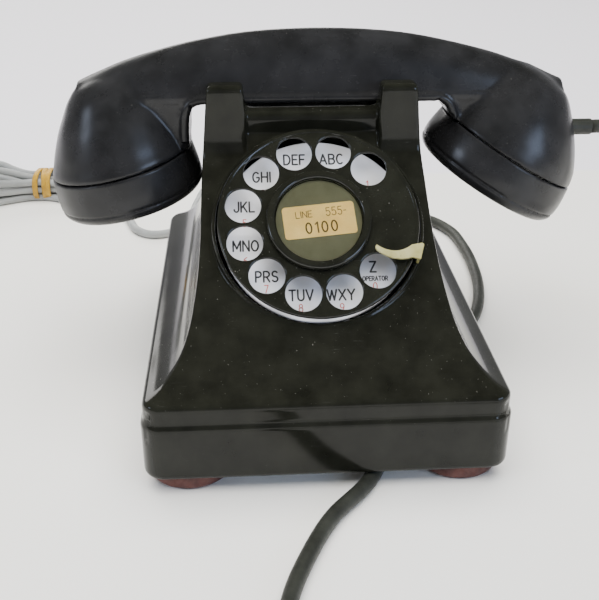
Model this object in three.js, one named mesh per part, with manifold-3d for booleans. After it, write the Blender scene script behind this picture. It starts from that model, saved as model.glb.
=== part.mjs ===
// Rotary desk telephone with its handset resting in a four-post cradle. Millimetres.
// +X runs to the right of a person facing the dial, +Y runs to the back, +Z is up.
// The origin is on the table, under the middle of the whole telephone.
import * as THREE from 'three';
import { mergeVertices } from 'three/addons/utils/BufferGeometryUtils.js';
import Module from 'manifold-3d';

const wasm = await Module();
wasm.setup();

// ---- Driving dimensions ----

const GAP = 0.3; // clearance between pieces that touch
const MODEL_SHIFT_X = -2; // the handset reaches further right, so the body stands left of the origin

const FOOT_HEIGHT = 6.2;
const FOOT_RADIUS = 16;
const FOOT_X = 50.2;
const FOOT_Y = 73;

const SKIRT_HALF_WIDTH = 66.5;
const SKIRT_HALF_DEPTH = 91;
const SKIRT_BOTTOM = 6.4;
const SKIRT_TOP = 29.2;
const BAND_HALF_WIDTH = 65.5;
const BAND_HALF_DEPTH = 90;
const BAND_TOP = 36.3;
const CORNER_RADIUS = 8;
const WALL = 3;
const PLATE_BOTTOM = 6.5;
const PLATE_THICKNESS = 1.6;
const PLATE_TOP = PLATE_BOTTOM + PLATE_THICKNESS;

const CRADLE_Y = 22; // middle of the cradle, the handset's centre plane
const CRADLE_FLOOR = 114.8;
const CRADLE_ROOF = 107; // underside of the cradle floor, inside the housing
const POST_TOP = 125.8;
const SADDLE_TOP = 114.5; // land between the left and the right posts

const DIAL_CENTRE = new THREE.Vector3(0, -36.8, 83.1); // on the finger wheel's top face
const DIAL_TILT = THREE.MathUtils.degToRad(45.6); // dial axis, measured from vertical towards the front
const WHEEL_RADIUS = 38.1; // a three-inch finger wheel
const HOLE_CIRCLE_RADIUS = 29.1;
const FINGER_HOLE_RADIUS = 6.75;
const FIRST_HOLE_ANGLE = 46.3; // degrees, hole "1", counter-clockwise from +X
const DIAL_BORE_RADIUS = 39;
const PLATE_FACE = -9.1; // number plate's face, below the wheel's top
const CASE_RIM = -10.4;
const CASE_FLOOR = -24.5;

const RECEIVER = { x: -78.6, z: 89.6, tilt: -13, radius: 30.1, capHeight: 18.5, swell: 0.9 };
const TRANSMITTER = { x: 85.6, z: 91.9, tilt: 30.5, radius: 32.1, capHeight: 18, swell: 1.4 };
const HANDLE_HALF_WIDTH = 14.5;
const HANDLE_BOTTOM = 115.5;
const NECK_TOP = 119.2; // the necks end inside the handle's bead
const CORD_EXIT_HEIGHT = 99.8;

const PLUNGER_X = 34;
const PLUNGER_RADIUS = 3;

const HANDSET_CORD_RADIUS = 2.9;
const LINE_CORD_RADIUS = 2.3;

// ---- Materials ----

const finish = (color, roughness, metalness) =>
  new THREE.MeshStandardMaterial({ color, roughness, metalness });

const blackMoulding = finish('#11110f', 0.18, 0);
const handsetMoulding = finish('#131316', 0.3, 0);
const blackEnamel = finish('#0d0d0d', 0.22, 0.1);
const whiteEnamel = finish('#e6e6ea', 0.25, 0);
const steel = finish('#9aa0a6', 0.4, 0.9);
const brass = finish('#c9b26a', 0.35, 0.9);
const bronze = finish('#a9905a', 0.4, 0.9);
const leather = finish('#4a2420', 0.85, 0);
const greenCard = finish('#6b6f5e', 0.6, 0);
const paper = finish('#e8b765', 0.7, 0);
const clearSheet = finish('#dfe4e0', 0.1, 0);
const copperWinding = finish('#6d3b1f', 0.6, 0.2);
const phenolic = finish('#4b2f1d', 0.6, 0);
const zincCan = finish('#b6b8b5', 0.45, 0.8);
const blackRubber = finish('#161616', 0.6, 0);
const greyRubber = finish('#7e8080', 0.65, 0);
const ochreBand = finish('#c79a2b', 0.6, 0);

// ---- Solids ----

// A three.js geometry as a manifold solid.
function solid(geometry) {
  const bare = geometry.clone();
  bare.deleteAttribute('normal');
  bare.deleteAttribute('uv');
  const merged = mergeVertices(bare, 1e-4);
  const mesh = new wasm.Mesh({
    numProp: 3,
    vertProperties: new Float32Array(merged.attributes.position.array),
    triVerts: new Uint32Array(merged.index.array),
  });
  return new wasm.Manifold(mesh);
}

// A manifold solid as a three.js geometry.
function toGeometry(body) {
  const mesh = body.getMesh();
  const geometry = new THREE.BufferGeometry();
  geometry.setAttribute('position', new THREE.BufferAttribute(new Float32Array(mesh.vertProperties), 3));
  geometry.setIndex(new THREE.BufferAttribute(new Uint32Array(mesh.triVerts), 1));
  geometry.computeVertexNormals();
  return geometry;
}

function join(...geometries) {
  return geometries.map(solid).reduce((sum, next) => sum.add(next));
}

function cut(body, ...geometries) {
  return geometries.map(solid).reduce((rest, tool) => rest.subtract(tool), body);
}

function box(width, depth, height, x, y, bottom) {
  return new THREE.BoxGeometry(width, depth, height).translate(x, y, bottom + height / 2);
}

// An upright cylinder from bottom to top.
function rod(radius, bottom, top, x = 0, y = 0, sides = 20) {
  const geometry = new THREE.CylinderGeometry(radius, radius, top - bottom, sides);
  return geometry.rotateX(Math.PI / 2).translate(x, y, (bottom + top) / 2);
}

// A solid of revolution about +Z from [radius, height] pairs that close on themselves or on the axis.
// The pairs run counter-clockwise, with the radius to the right and the height up.
function turned(pairs, sides = 32) {
  const profile = pairs.map(([radius, height]) => new THREE.Vector2(radius, height));
  return new THREE.LatheGeometry(profile, sides).rotateX(Math.PI / 2);
}

// A ring of rectangular section about +Z.
function ring(inner, outer, bottom, top, sides = 32) {
  return turned([[inner, bottom], [outer, bottom], [outer, top], [inner, top], [inner, bottom]], sides);
}

function roundedRectangle(halfWidth, halfDepth, radius) {
  const shape = new THREE.Shape();
  const quarters = [[1, -1, -90], [1, 1, 0], [-1, 1, 90], [-1, -1, 180]];
  for (const [sideX, sideY, start] of quarters) {
    const centreX = sideX * (halfWidth - radius);
    const centreY = sideY * (halfDepth - radius);
    const from = THREE.MathUtils.degToRad(start);
    shape.absarc(centreX, centreY, radius, from, from + Math.PI / 2, false);
  }
  return shape;
}

function extrudeUp(shape, bottom, top, curveSegments = 6) {
  const geometry = new THREE.ExtrudeGeometry(shape, { depth: top - bottom, bevelEnabled: false, curveSegments });
  return geometry.translate(0, 0, bottom);
}

// An outline drawn in X and Z, run along Y.
function extrudeBack(shape, front, back, curveSegments = 6) {
  const geometry = new THREE.ExtrudeGeometry(shape, { depth: back - front, bevelEnabled: false, curveSegments });
  return geometry.rotateX(Math.PI / 2).translate(0, back, 0);
}

// An outline drawn in Y and Z, run along X.
function extrudeAcross(shape, left, right, curveSegments = 6) {
  const geometry = new THREE.ExtrudeGeometry(shape, { depth: right - left, bevelEnabled: false, curveSegments });
  const axes = new THREE.Matrix4().makeBasis(
    new THREE.Vector3(0, 1, 0),
    new THREE.Vector3(0, 0, 1),
    new THREE.Vector3(1, 0, 0),
  );
  return geometry.applyMatrix4(axes).translate(left, 0, 0);
}

const points = (pairs) => pairs.map(([x, y]) => new THREE.Vector2(x, y));

// A smooth line through a few points, as a list of points.
function smoothLine(pairs, count) {
  return new THREE.SplineCurve(points(pairs)).getPoints(count);
}

// A line moved sideways, to its left as it is drawn.
function offsetLine(line, distance) {
  return line.map((point, index) => {
    const before = line[Math.max(index - 1, 0)];
    const after = line[Math.min(index + 1, line.length - 1)];
    const along = new THREE.Vector2().subVectors(after, before).normalize();
    return new THREE.Vector2(point.x - along.y * distance, point.y + along.x * distance);
  });
}

// A closed skin over a row of outlines that all have the same number of points.
function loft(outlines) {
  const count = outlines[0].length;
  const last = outlines.length - 1;
  const vertices = outlines.flat();
  const faces = [];
  for (let row = 0; row < last; row++) {
    for (let column = 0; column < count; column++) {
      const next = (column + 1) % count;
      const here = row * count;
      const there = here + count;
      faces.push(here + column, here + next, there + next);
      faces.push(here + column, there + next, there + column);
    }
  }
  for (const row of [0, last]) {
    const centre = new THREE.Vector3();
    outlines[row].forEach((vertex) => centre.addScaledVector(vertex, 1 / count));
    const centreIndex = vertices.push(centre) - 1;
    for (let column = 0; column < count; column++) {
      const here = row * count + column;
      const next = row * count + ((column + 1) % count);
      faces.push(...(row === 0 ? [centreIndex, next, here] : [centreIndex, here, next]));
    }
  }
  const geometry = new THREE.BufferGeometry();
  geometry.setAttribute('position', new THREE.Float32BufferAttribute(vertices.flatMap((v) => v.toArray()), 3));
  geometry.setIndex(faces);
  return geometry;
}

// ---- Scene graph ----

const telephone = new THREE.Group();
const model = new THREE.Group();
model.position.x = MODEL_SHIFT_X;
telephone.add(model);

function place(name, shape, material, parent = model) {
  const geometry = shape.isBufferGeometry ? shape : toGeometry(shape);
  const mesh = new THREE.Mesh(geometry, material);
  mesh.name = name;
  parent.add(mesh);
  return mesh;
}

// ---- Housing ----

const dialAxes = new THREE.Matrix4()
  .makeRotationX(DIAL_TILT)
  .setPosition(DIAL_CENTRE);
const onDial = (geometry) => geometry.clone().applyMatrix4(dialAxes);

// Right flank seen from the front, from the shoulder up to the foot of the posts.
const flank = smoothLine([
  [BAND_HALF_WIDTH + 1, BAND_TOP - 0.4], [60.7, 38.2], [56.5, 41], [52.3, 45.4], [49.4, 51], [47.6, 57],
  [46, 65], [45, 74], [44.6, 83], [44.2, 92], [43.4, 101],
], 13);

// Front face seen from the left, from the shoulder up to the posts.
const frontFace = smoothLine([
  [-BAND_HALF_DEPTH - 1, BAND_TOP - 0.4], [-81, 40], [-72, 45], [-64, 50.8], [-56, 57.3], [-47, 64.4],
  [-35, 73.1], [-25, 80.4], [-15, 88.2], [-8, 94.3], [-4.2, 99], [-3, 104],
], 13);

// Back face seen from the left, from the posts down to the shoulder.
const backFace = smoothLine([
  [47, 104], [48.4, 99], [52, 91], [56.5, 81.5], [61.5, 71.5], [67.5, 61], [74.5, 50.5], [82, 42.2],
  [BAND_HALF_DEPTH + 1, BAND_TOP - 0.4],
], 10);

function frontOutline() {
  const foot = points([[BAND_HALF_WIDTH + 2, SKIRT_BOTTOM + 12], [BAND_HALF_WIDTH + 2, BAND_TOP - 0.8]]);
  const half = new THREE.Path(foot.concat(flank));
  half.lineTo(41.4, POST_TOP - 2.6);
  half.quadraticCurveTo(41.2, POST_TOP, 38.6, POST_TOP);
  half.lineTo(29.6, POST_TOP);
  half.quadraticCurveTo(27, POST_TOP, 27, POST_TOP - 2.6);
  half.lineTo(26.5, SADDLE_TOP + 3);
  half.quadraticCurveTo(26.2, SADDLE_TOP, 23, SADDLE_TOP);
  const right = half.getPoints(3);
  const left = right.map((point) => new THREE.Vector2(-point.x, point.y)).reverse();
  return new THREE.Shape(right.concat(left));
}

function sideOutline() {
  const line = new THREE.Path(backFace.slice().reverse());
  line.lineTo(46.7, POST_TOP - 3);
  line.quadraticCurveTo(46.6, POST_TOP, 43.6, POST_TOP);
  line.lineTo(39.6, POST_TOP);
  line.quadraticCurveTo(37.8, POST_TOP, 37.7, POST_TOP - 2);
  line.lineTo(37, CRADLE_FLOOR + 2);
  line.quadraticCurveTo(36.8, CRADLE_FLOOR, 34.8, CRADLE_FLOOR);
  line.lineTo(9.2, CRADLE_FLOOR);
  line.quadraticCurveTo(7.2, CRADLE_FLOOR, 7, CRADLE_FLOOR + 2);
  line.lineTo(6.3, POST_TOP - 2);
  line.quadraticCurveTo(6.2, POST_TOP, 4.4, POST_TOP);
  line.lineTo(0.4, POST_TOP);
  line.quadraticCurveTo(-2.6, POST_TOP, -2.7, POST_TOP - 3);
  const top = line.getPoints(3);
  const base = points([
    [-BAND_HALF_DEPTH - 2, BAND_TOP - 0.8], [-BAND_HALF_DEPTH - 2, SKIRT_BOTTOM + 11],
    [BAND_HALF_DEPTH + 2, SKIRT_BOTTOM + 11], [BAND_HALF_DEPTH + 2, BAND_TOP - 0.8],
  ]);
  return new THREE.Shape(top.concat(frontFace.slice().reverse(), base));
}

// Recess between two posts, which leaves the wall between them standing back.
function recessOutline() {
  return new THREE.Shape(points([
    [-4.8, 98.2], [1, 105.6], [1, SADDLE_TOP - 3.9], [1.6, SADDLE_TOP - 1.9], [3, SADDLE_TOP - 0.5], [4.9, SADDLE_TOP + 0.2],
    [2.6, POST_TOP + 4], [-40, POST_TOP + 4], [-40, 98.2],
  ]));
}

function hollow() {
  const rightWall = offsetLine(flank, WALL);
  const frontHalf = points([[BAND_HALF_WIDTH - WALL, 0]])
    .concat(rightWall.slice(1), points([[rightWall.at(-1).x, CRADLE_ROOF]]));
  const across = frontHalf.concat(frontHalf.map((p) => new THREE.Vector2(-p.x, p.y)).reverse());
  const below = (line) => line.filter((point) => point.y < 95);
  const frontWall = below(offsetLine(frontFace, -WALL));
  const backWall = below(offsetLine(backFace, -WALL));
  const along = points([[-BAND_HALF_DEPTH + WALL, 0], [BAND_HALF_DEPTH - WALL, 0]]).concat(
    backWall.slice(0, -1).reverse(),
    points([[46, 96.8], [40.4, 104], [40, CRADLE_ROOF], [4, CRADLE_ROOF], [3.6, 104], [-2, 96.8]]),
    frontWall.slice(1).reverse(),
  );
  const upper = solid(extrudeBack(new THREE.Shape(across), -100, 100))
    .intersect(solid(extrudeAcross(new THREE.Shape(along), -80, 80)));
  const lower = roundedRectangle(SKIRT_HALF_WIDTH - WALL, SKIRT_HALF_DEPTH - WALL, CORNER_RADIUS - WALL);
  return upper.add(solid(extrudeUp(lower, 0, SKIRT_TOP - WALL)));
}

function buildHousing() {
  const column = roundedRectangle(BAND_HALF_WIDTH, BAND_HALF_DEPTH, CORNER_RADIUS - 1);
  const skirt = roundedRectangle(SKIRT_HALF_WIDTH, SKIRT_HALF_DEPTH, CORNER_RADIUS);
  const recess = extrudeAcross(recessOutline(), -26.4, 26.4);
  const backRecess = recess.clone().rotateZ(Math.PI).translate(0, 2 * CRADLE_Y, 0);
  let body = solid(extrudeBack(frontOutline(), -95, 95))
    .intersect(solid(extrudeAcross(sideOutline(), -70, 70)))
    .intersect(solid(extrudeUp(column, 0, 140)))
    .subtract(solid(recess))
    .subtract(solid(backRecess))
    .add(solid(extrudeUp(skirt, SKIRT_BOTTOM, SKIRT_TOP)));
  const collar = onDial(rod(40.3, -15.2, -3.2, 0, 0, 52));
  body = body.add(solid(collar));
  body = body.subtract(hollow());
  body = body.subtract(solid(onDial(rod(DIAL_BORE_RADIUS, -30, 12, 0, 0, 48))));
  const bosses = [];
  const bossHoles = [];
  for (const [x, y] of screwPlaces) {
    bosses.push(rod(4.5, PLATE_TOP + GAP, 33, x, y, 10));
    bossHoles.push(rod(1.9, 0, 22, x, y, 8));
  }
  body = bosses.map(solid).reduce((sum, boss) => sum.add(boss), body);
  const plungerHoles = [-PLUNGER_X, PLUNGER_X].map((x) => rod(PLUNGER_RADIUS + 0.5, 100, 130, x, CRADLE_Y, 14));
  const cordHoles = cordExits.map(({ x, z }) =>
    rod(5.2, 80, 100, 0, 0, 14).rotateX(-Math.PI / 2).translate(x, 0, z));
  return cut(body, ...bossHoles, ...plungerHoles, ...cordHoles);
}

const screwPlaces = [[-59.5, -50], [59.5, -50], [-59.5, 50], [59.5, 50]];
const cordExits = [{ x: 24, z: 15 }, { x: -26, z: 15 }];
place('housing', buildHousing(), blackMoulding);

// ---- Base plate, feet and fasteners ----

const baseOutline = roundedRectangle(
  SKIRT_HALF_WIDTH - WALL - GAP - 0.2,
  SKIRT_HALF_DEPTH - WALL - GAP - 0.2,
  CORNER_RADIUS - WALL - GAP,
);
const footPlaces = [
  ['front_left', -FOOT_X, -FOOT_Y],
  ['front_right', FOOT_X, -FOOT_Y],
  ['back_left', -FOOT_X, FOOT_Y],
  ['back_right', FOOT_X, FOOT_Y],
];
const plateHoles = [
  ...screwPlaces.map(([x, y]) => rod(2.2, 0, 20, x, y, 8)),
  ...footPlaces.map(([, x, y]) => rod(1.9, 0, 20, x, y, 8)),
];
place('base_plate', cut(solid(extrudeUp(baseOutline, PLATE_BOTTOM, PLATE_TOP)), ...plateHoles), steel);

for (const [name, x, y] of footPlaces) {
  const pad = turned([
    [1.9, 3.4], [4, 3.4], [4, 0], [FOOT_RADIUS - 2, 0], [FOOT_RADIUS, 2],
    [FOOT_RADIUS, FOOT_HEIGHT], [1.9, FOOT_HEIGHT], [1.9, 3.4],
  ], 20);
  place(`foot_${name}`, pad, leather).position.set(x, y, 0);
  const rivet = turned([
    [0, 1.6], [3, 1.6], [3.4, 3.1], [1.5, 3.1], [1.5, PLATE_TOP + GAP], [3, PLATE_TOP + GAP],
    [2.4, PLATE_TOP + 1.5], [0, PLATE_TOP + 1.5],
  ], 8);
  place(`rivet_${name}`, rivet, brass).position.set(x, y, 0);
}

screwPlaces.forEach(([x, y], index) => {
  const screw = turned([
    [0, 4.4], [3.4, 4.4], [3.8, 5], [3.8, PLATE_BOTTOM - GAP], [1.6, PLATE_BOTTOM - GAP], [1.6, 19], [0, 20],
  ], 8);
  const slot = box(9, 0.9, 0.8, 0, 0, 4.2);
  place(`base_screw_${index + 1}`, cut(solid(screw), slot), steel).position.set(x, y, 0);
});

// ---- Dial: turning pieces ----

const dial = new THREE.Group();
dial.position.copy(DIAL_CENTRE);
dial.rotation.x = DIAL_TILT;
model.add(dial);

const holePlaces = Array.from({ length: 10 }, (_, index) => {
  const angle = THREE.MathUtils.degToRad(FIRST_HOLE_ANGLE + 30 * index);
  return [HOLE_CIRCLE_RADIUS * Math.cos(angle), HOLE_CIRCLE_RADIUS * Math.sin(angle)];
});

const wheelDisc = turned([
  [3.9, -1.6], [37.5, -1.6], [WHEEL_RADIUS, -1.1], [WHEEL_RADIUS, -0.5],
  [37.5, 0.3], [36.8, 0.3], [36.2, 0], [3.9, 0], [3.9, -1.6],
], 48);
const fingerHoles = holePlaces.map(([x, y]) => rod(FINGER_HOLE_RADIUS, -5, 5, x, y, 20));
place('finger_wheel', cut(solid(wheelDisc), ...fingerHoles), blackEnamel, dial);

const cardRing = turned([
  [16.6, 0.3], [19.9, 0.3], [19.9, 1.1], [18.9, 2.7], [17.3, 2.7], [16.6, 1.9], [16.6, 0.3],
], 36);
place('card_ring', cardRing, blackEnamel, dial);
place('number_card', rod(16.2, 0.3, 0.6, 0, 0, 32), greenCard, dial);
const labelPlate = box(27.2, 12.9, 0.2, 0.2, -0.1, 0.9).rotateZ(THREE.MathUtils.degToRad(5.3));
place('number_label', labelPlate, paper, dial);
place('card_window', rod(16.2, 1.4, 1.8, 0, 0, 32), clearSheet, dial);

const shaft = turned([[0, -26.5], [2.2, -26.5], [2.2, -23], [3.5, -23], [3.5, 0], [0, 0]], 12);
place('dial_shaft', shaft, steel, dial);

// A toothed wheel with straight-sided teeth.
function gear(teeth, tipRadius, rootRadius, boreRadius, bottom, top) {
  const outline = [];
  for (let tooth = 0; tooth < teeth; tooth++) {
    const start = (2 * Math.PI * tooth) / teeth;
    const pitch = (2 * Math.PI) / teeth;
    for (const [share, radius] of [[0, rootRadius], [0.3, rootRadius], [0.5, tipRadius], [0.8, tipRadius]]) {
      const angle = start + share * pitch;
      outline.push(new THREE.Vector2(radius * Math.cos(angle), radius * Math.sin(angle)));
    }
  }
  const shape = new THREE.Shape(outline);
  if (boreRadius > 0) {
    shape.holes.push(new THREE.Path().absarc(0, 0, boreRadius, 0, 2 * Math.PI, true));
  }
  return extrudeUp(shape, bottom, top, 8);
}

place('main_gear', gear(24, 13, 11.6, 3.9, -13, -11.2), brass, dial);
place('pulse_ratchet', gear(10, 9.3, 7.6, 3.9, -16.4, -14.6), steel, dial);

// ---- Dial: gear train and governor ----

const PINION_X = -16.9;
const GOVERNOR_X = -26;
const GOVERNOR_DEPTH = -16.5;
const train = new THREE.Group();
train.position.set(PINION_X, 0, 0);
dial.add(train);
const pinion = join(
  gear(9, 3.5, 2.4, 0, -13.2, -11),
  rod(1.5, -23, -10.4, 0, 0, 8),
  gear(14, 6.4, 5.6, 0, -17.4, -15.6),
);
place('pinion_gear', pinion, brass, train);

const governor = new THREE.Group();
governor.position.set(GOVERNOR_X, 0, GOVERNOR_DEPTH);
governor.rotation.x = -Math.PI / 2;
dial.add(governor);
const governorRotor = turned([
  [0, -13], [1, -13], [1, -6], [2.1, -6], [2.1, 6], [1, 6], [1, 8], [4.4, 8], [4.4, 12], [1, 12], [1, 13.5], [0, 13.5],
], 12);
place('governor_rotor', governorRotor, brass, governor);
place('governor_cup', ring(4.9, 5.5, 7.5, 12.8, 16), steel, governor);

// ---- Dial: fixed pieces ----

const plateDisc = ring(9, 37.1, PLATE_FACE - 1, PLATE_FACE, 48);
place('number_plate', plateDisc, whiteEnamel, dial);
const caseWall = turned([
  [4, CASE_FLOOR], [36.7, CASE_FLOOR], [36.7, CASE_RIM], [35.6, CASE_RIM], [35.6, CASE_FLOOR + 1.2],
  [4, CASE_FLOOR + 1.2], [4, CASE_FLOOR],
], 36);
place('dial_case', caseWall, steel, dial);

// A flat spring wound in a spiral round the shaft.
function spiralBand(inner, outer, turns, thickness, bottom, top) {
  const steps = 14 * turns;
  const edge = (extra) => Array.from({ length: steps + 1 }, (_, index) => {
    const angle = (2 * Math.PI * turns * index) / steps;
    const radius = inner + ((outer - inner) * index) / steps + extra;
    return new THREE.Vector2(radius * Math.cos(angle), radius * Math.sin(angle));
  });
  const shape = new THREE.Shape(edge(thickness).concat(edge(0).reverse()));
  return extrudeUp(shape, bottom, top);
}

place('mainspring', spiralBand(4.4, 12, 3, 0.5, -22.6, -18.6), steel, dial);

const contactBlock = join(
  box(5, 8, 9, 4.5, -21, -21.5),
  box(21, 6, 0.6, 13, -21, -20.5),
  box(21, 6, 0.6, 13, -21, -17.5),
  box(21, 6, 0.6, 13, -21, -14.5),
);
place('pulse_contacts', contactBlock, phenolic, dial);

function fingerStop() {
  const blade = new THREE.Shape();
  blade.moveTo(20.6, -11.2);
  blade.quadraticCurveTo(27.5, -16.2, 33.8, -11.5);
  blade.lineTo(37.6, -10.9);
  blade.lineTo(38.3, -11.4);
  blade.lineTo(36.6, -17.2);
  blade.lineTo(33.5, -16.4);
  blade.quadraticCurveTo(27, -18.4, 20.8, -13.4);
  blade.quadraticCurveTo(19.6, -12.2, 20.6, -11.2);
  const leg = box(1, 5.2, 6.1, 0, 0, -2.9).rotateZ(-0.285).translate(37, -14.25, 0);
  return join(extrudeUp(blade, 2.2, 3.3, 8), leg);
}

place('finger_stop', fingerStop(), brass, dial);

// ---- Hook switch ----

for (const [name, x] of [['left', -PLUNGER_X], ['right', PLUNGER_X]]) {
  const plunger = turned([
    [0, 98], [4.4, 98], [4.4, 100], [PLUNGER_RADIUS, 100], [PLUNGER_RADIUS, CRADLE_FLOOR - 0.3],
    [PLUNGER_RADIUS - 0.8, CRADLE_FLOOR + 0.3], [0, CRADLE_FLOOR + 0.3],
  ], 14);
  place(`plunger_${name}`, plunger, blackMoulding).position.set(x, CRADLE_Y, 0);
}

// A bail under both plungers, turning on two pins of the switch frame behind it.
const LEVER_PIVOT = new THREE.Vector3(0, 41, 93);
const lever = join(
  box(76, 5, 2, 0, 22, 95.4),
  box(3, 22, 2, -30, 31, 95.4),
  box(3, 22, 2, 30, 31, 95.4),
  rod(2.6, -31.5, -28.5, 0, 0, 10).rotateY(Math.PI / 2).translate(0, LEVER_PIVOT.y, LEVER_PIVOT.z + 1.4),
  rod(2.6, 28.5, 31.5, 0, 0, 10).rotateY(Math.PI / 2).translate(0, LEVER_PIVOT.y, LEVER_PIVOT.z + 1.4),
);
const pinHole = rod(1.5, -40, 40, 0, 0, 10).rotateY(Math.PI / 2).translate(0, LEVER_PIVOT.y, LEVER_PIVOT.z + 1.4);
place('switch_lever', cut(lever, pinHole), steel);

const switchFrame = join(
  box(2, 8, 88, -33.5, 40, PLATE_TOP + GAP),
  box(2, 8, 88, 33.5, 40, PLATE_TOP + GAP),
  box(69, 8, 2, 0, 40, 73.7),
  rod(1.1, -34, 34, 0, 0, 8).rotateY(Math.PI / 2).translate(0, LEVER_PIVOT.y, LEVER_PIVOT.z + 1.4),
  box(8, 8, 1.6, -37.5, 40, PLATE_TOP + GAP),
  box(8, 8, 1.6, 37.5, 40, PLATE_TOP + GAP),
);
place('switch_frame', switchFrame, steel);
const switchSprings = join(
  box(12, 10, 8, 0, 40, 76),
  box(7, 22, 0.6, 0, 28, 77),
  box(7, 22, 0.6, 0, 28, 80),
  box(7, 22, 0.6, 0, 28, 83),
);
place('switch_contacts', switchSprings, phenolic);

// ---- Ringer ----

const GONG_X = 25;
const GONG_Y = 64;
const GONG_RADIUS = 20;
const GONG_BOTTOM = 13;
const CLAPPER_PIVOT_Y = 41;
const ringer = new THREE.Group();
model.add(ringer);
const ringerFrame = join(
  box(56, 14, 2, 0, 30, PLATE_TOP + GAP),
  box(10, 36, 2, -GONG_X, 50, PLATE_TOP + GAP),
  box(10, 36, 2, GONG_X, 50, PLATE_TOP + GAP),
  rod(2.6, PLATE_TOP + 1, 24, -GONG_X, GONG_Y, 10),
  rod(2.6, PLATE_TOP + 1, 24, GONG_X, GONG_Y, 10),
  box(4, 10, 16, 0, 30, PLATE_TOP + 1),
  box(8, 12, 2, 0, CLAPPER_PIVOT_Y, PLATE_TOP + GAP),
  rod(1, PLATE_TOP + 1, 32, 0, CLAPPER_PIVOT_Y, 10),
);
place('ringer_frame', ringerFrame, steel, ringer);
for (const [name, side] of [['left', -1], ['right', 1]]) {
  const gong = turned([
    [3, 24.4], [12, 24], [18, 19.6], [19, GONG_BOTTOM], [GONG_RADIUS, GONG_BOTTOM],
    [GONG_RADIUS, 19.8], [13, 25.5], [3, 26.2], [3, 24.4],
  ], 24);
  place(`gong_${name}`, gong, bronze, ringer).position.set(side * GONG_X, GONG_Y, 0);
  const coil = join(
    rod(8.6, 13.2, 38, side * 15, 30, 16),
    rod(10, 11.2, 13.4, side * 15, 30, 16),
    rod(10, 37.8, 40, side * 15, 30, 16),
  );
  place(`ringer_coil_${name}`, coil, copperWinding, ringer);
}
const clapper = join(
  rod(1, 42.5, 65.5, 0, 0, 8).rotateX(-Math.PI / 2).translate(0, 0, 20),
  new THREE.SphereGeometry(2.7, 10, 6).translate(0, 66, 20),
  rod(2.8, 18, 44, 0, CLAPPER_PIVOT_Y, 10),
  box(26, 3, 3, 0, 40.6, 41),
);
const clapperBore = rod(1.4, 15, 33, 0, CLAPPER_PIVOT_Y, 10);
place('clapper', cut(clapper, clapperBore), brass, ringer);

// ---- Speech network ----

const inductionCoil = join(
  box(30, 3, 24, -34, -66, PLATE_TOP + GAP),
  box(30, 3, 24, -34, -16, PLATE_TOP + GAP),
  rod(9.5, -65, -17, 0, 0, 16).rotateX(-Math.PI / 2).translate(-34, 0, 21),
);
place('induction_coil', inductionCoil, copperWinding);
place('condenser', extrudeUp(roundedRectangle(14, 26, 3), PLATE_TOP + GAP, 30).translate(32, -40, 0), zincCan);
const terminalPieces = [box(18, 46, 3, 0, -40, PLATE_TOP + 6), box(10, 8, 6.2, 0, -40, PLATE_TOP + GAP)];
for (let row = 0; row < 4; row++) {
  for (const x of [-5, 5]) {
    terminalPieces.push(rod(2.2, PLATE_TOP + 8.5, PLATE_TOP + 11, x, -56 + row * 10.5, 8));
  }
}
place('terminal_strip', join(...terminalPieces), phenolic);

// ---- Handset ----

const handset = new THREE.Group();
handset.position.y = CRADLE_Y;
model.add(handset);

function cupAxes(cup) {
  return new THREE.Matrix4()
    .makeRotationY(THREE.MathUtils.degToRad(cup.tilt))
    .setPosition(cup.x, 0, cup.z);
}

// Height of the back of the handle, seen from the front.
const ridge = smoothLine([
  [-94.1, 122.2], [-76.3, 129.8], [-59.9, 134.8], [-43.7, 138.5], [-23.6, 141.5], [0.5, 142.6],
  [24.8, 141.8], [45.4, 139.3], [70.6, 133.6], [87.9, 128], [106.2, 120.7],
], 17);
const sectionWidths = smoothLine([
  [-94.1, 5.5], [-87, 9.5], [-76, 13], [-60, HANDLE_HALF_WIDTH], [0, HANDLE_HALF_WIDTH],
  [62, HANDLE_HALF_WIDTH], [84, 13.2], [97, 9.8], [106.2, 5],
], 60);
const sectionBottoms = points([
  [-94.1, 117.5], [-80, 116], [-60, HANDLE_BOTTOM], [70, HANDLE_BOTTOM], [90, 116], [106.2, 116.8],
]);

// The value of a line at x, for a line whose points run to the right.
function valueAt(line, x) {
  const after = Math.max(1, line.findIndex((point) => point.x >= x - 1e-6));
  const before = line[after - 1];
  const share = (x - before.x) / (line[after].x - before.x);
  return THREE.MathUtils.lerp(before.y, line[after].y, share);
}

// One cross-section of the handle: a flat grip side, a bead along each edge and two flanks up to the ridge.
function handleSection({ x, y: top }) {
  const width = valueAt(sectionWidths, x);
  const bottom = valueAt(sectionBottoms, x);
  const flankFoot = Math.min(bottom + 4.4, (bottom + top) / 2);
  const flankLine = new THREE.QuadraticBezierCurve(
    new THREE.Vector2(width - 0.5, flankFoot),
    new THREE.Vector2(0.66 * width, bottom + 0.93 * (top - bottom)),
    new THREE.Vector2(0, top),
  ).getPoints(5);
  const half = points([[width - 1.8, bottom], [width - 0.3, bottom + 1], [width, flankFoot - 1.2]]).concat(flankLine);
  const mirrored = half.slice(0, -1).reverse().map((point) => new THREE.Vector2(-point.x, point.y));
  return half.concat(mirrored).map((point) => new THREE.Vector3(x, point.x, point.y));
}

// Neck that carries the grip side's edge down to a cup's seam.
function neck(pairs, cup) {
  const web = extrudeBack(new THREE.Shape(points(pairs)), -HANDLE_HALF_WIDTH, HANDLE_HALF_WIDTH);
  const round = solid(rod(cup.radius + 0.3, 80, 130, cup.neckX, 0, 40))
    .add(solid(rod(cup.radius + 3.4, cup.neckFlare, 130, cup.neckX, 0, 40)));
  return solid(web).intersect(round);
}

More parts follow.
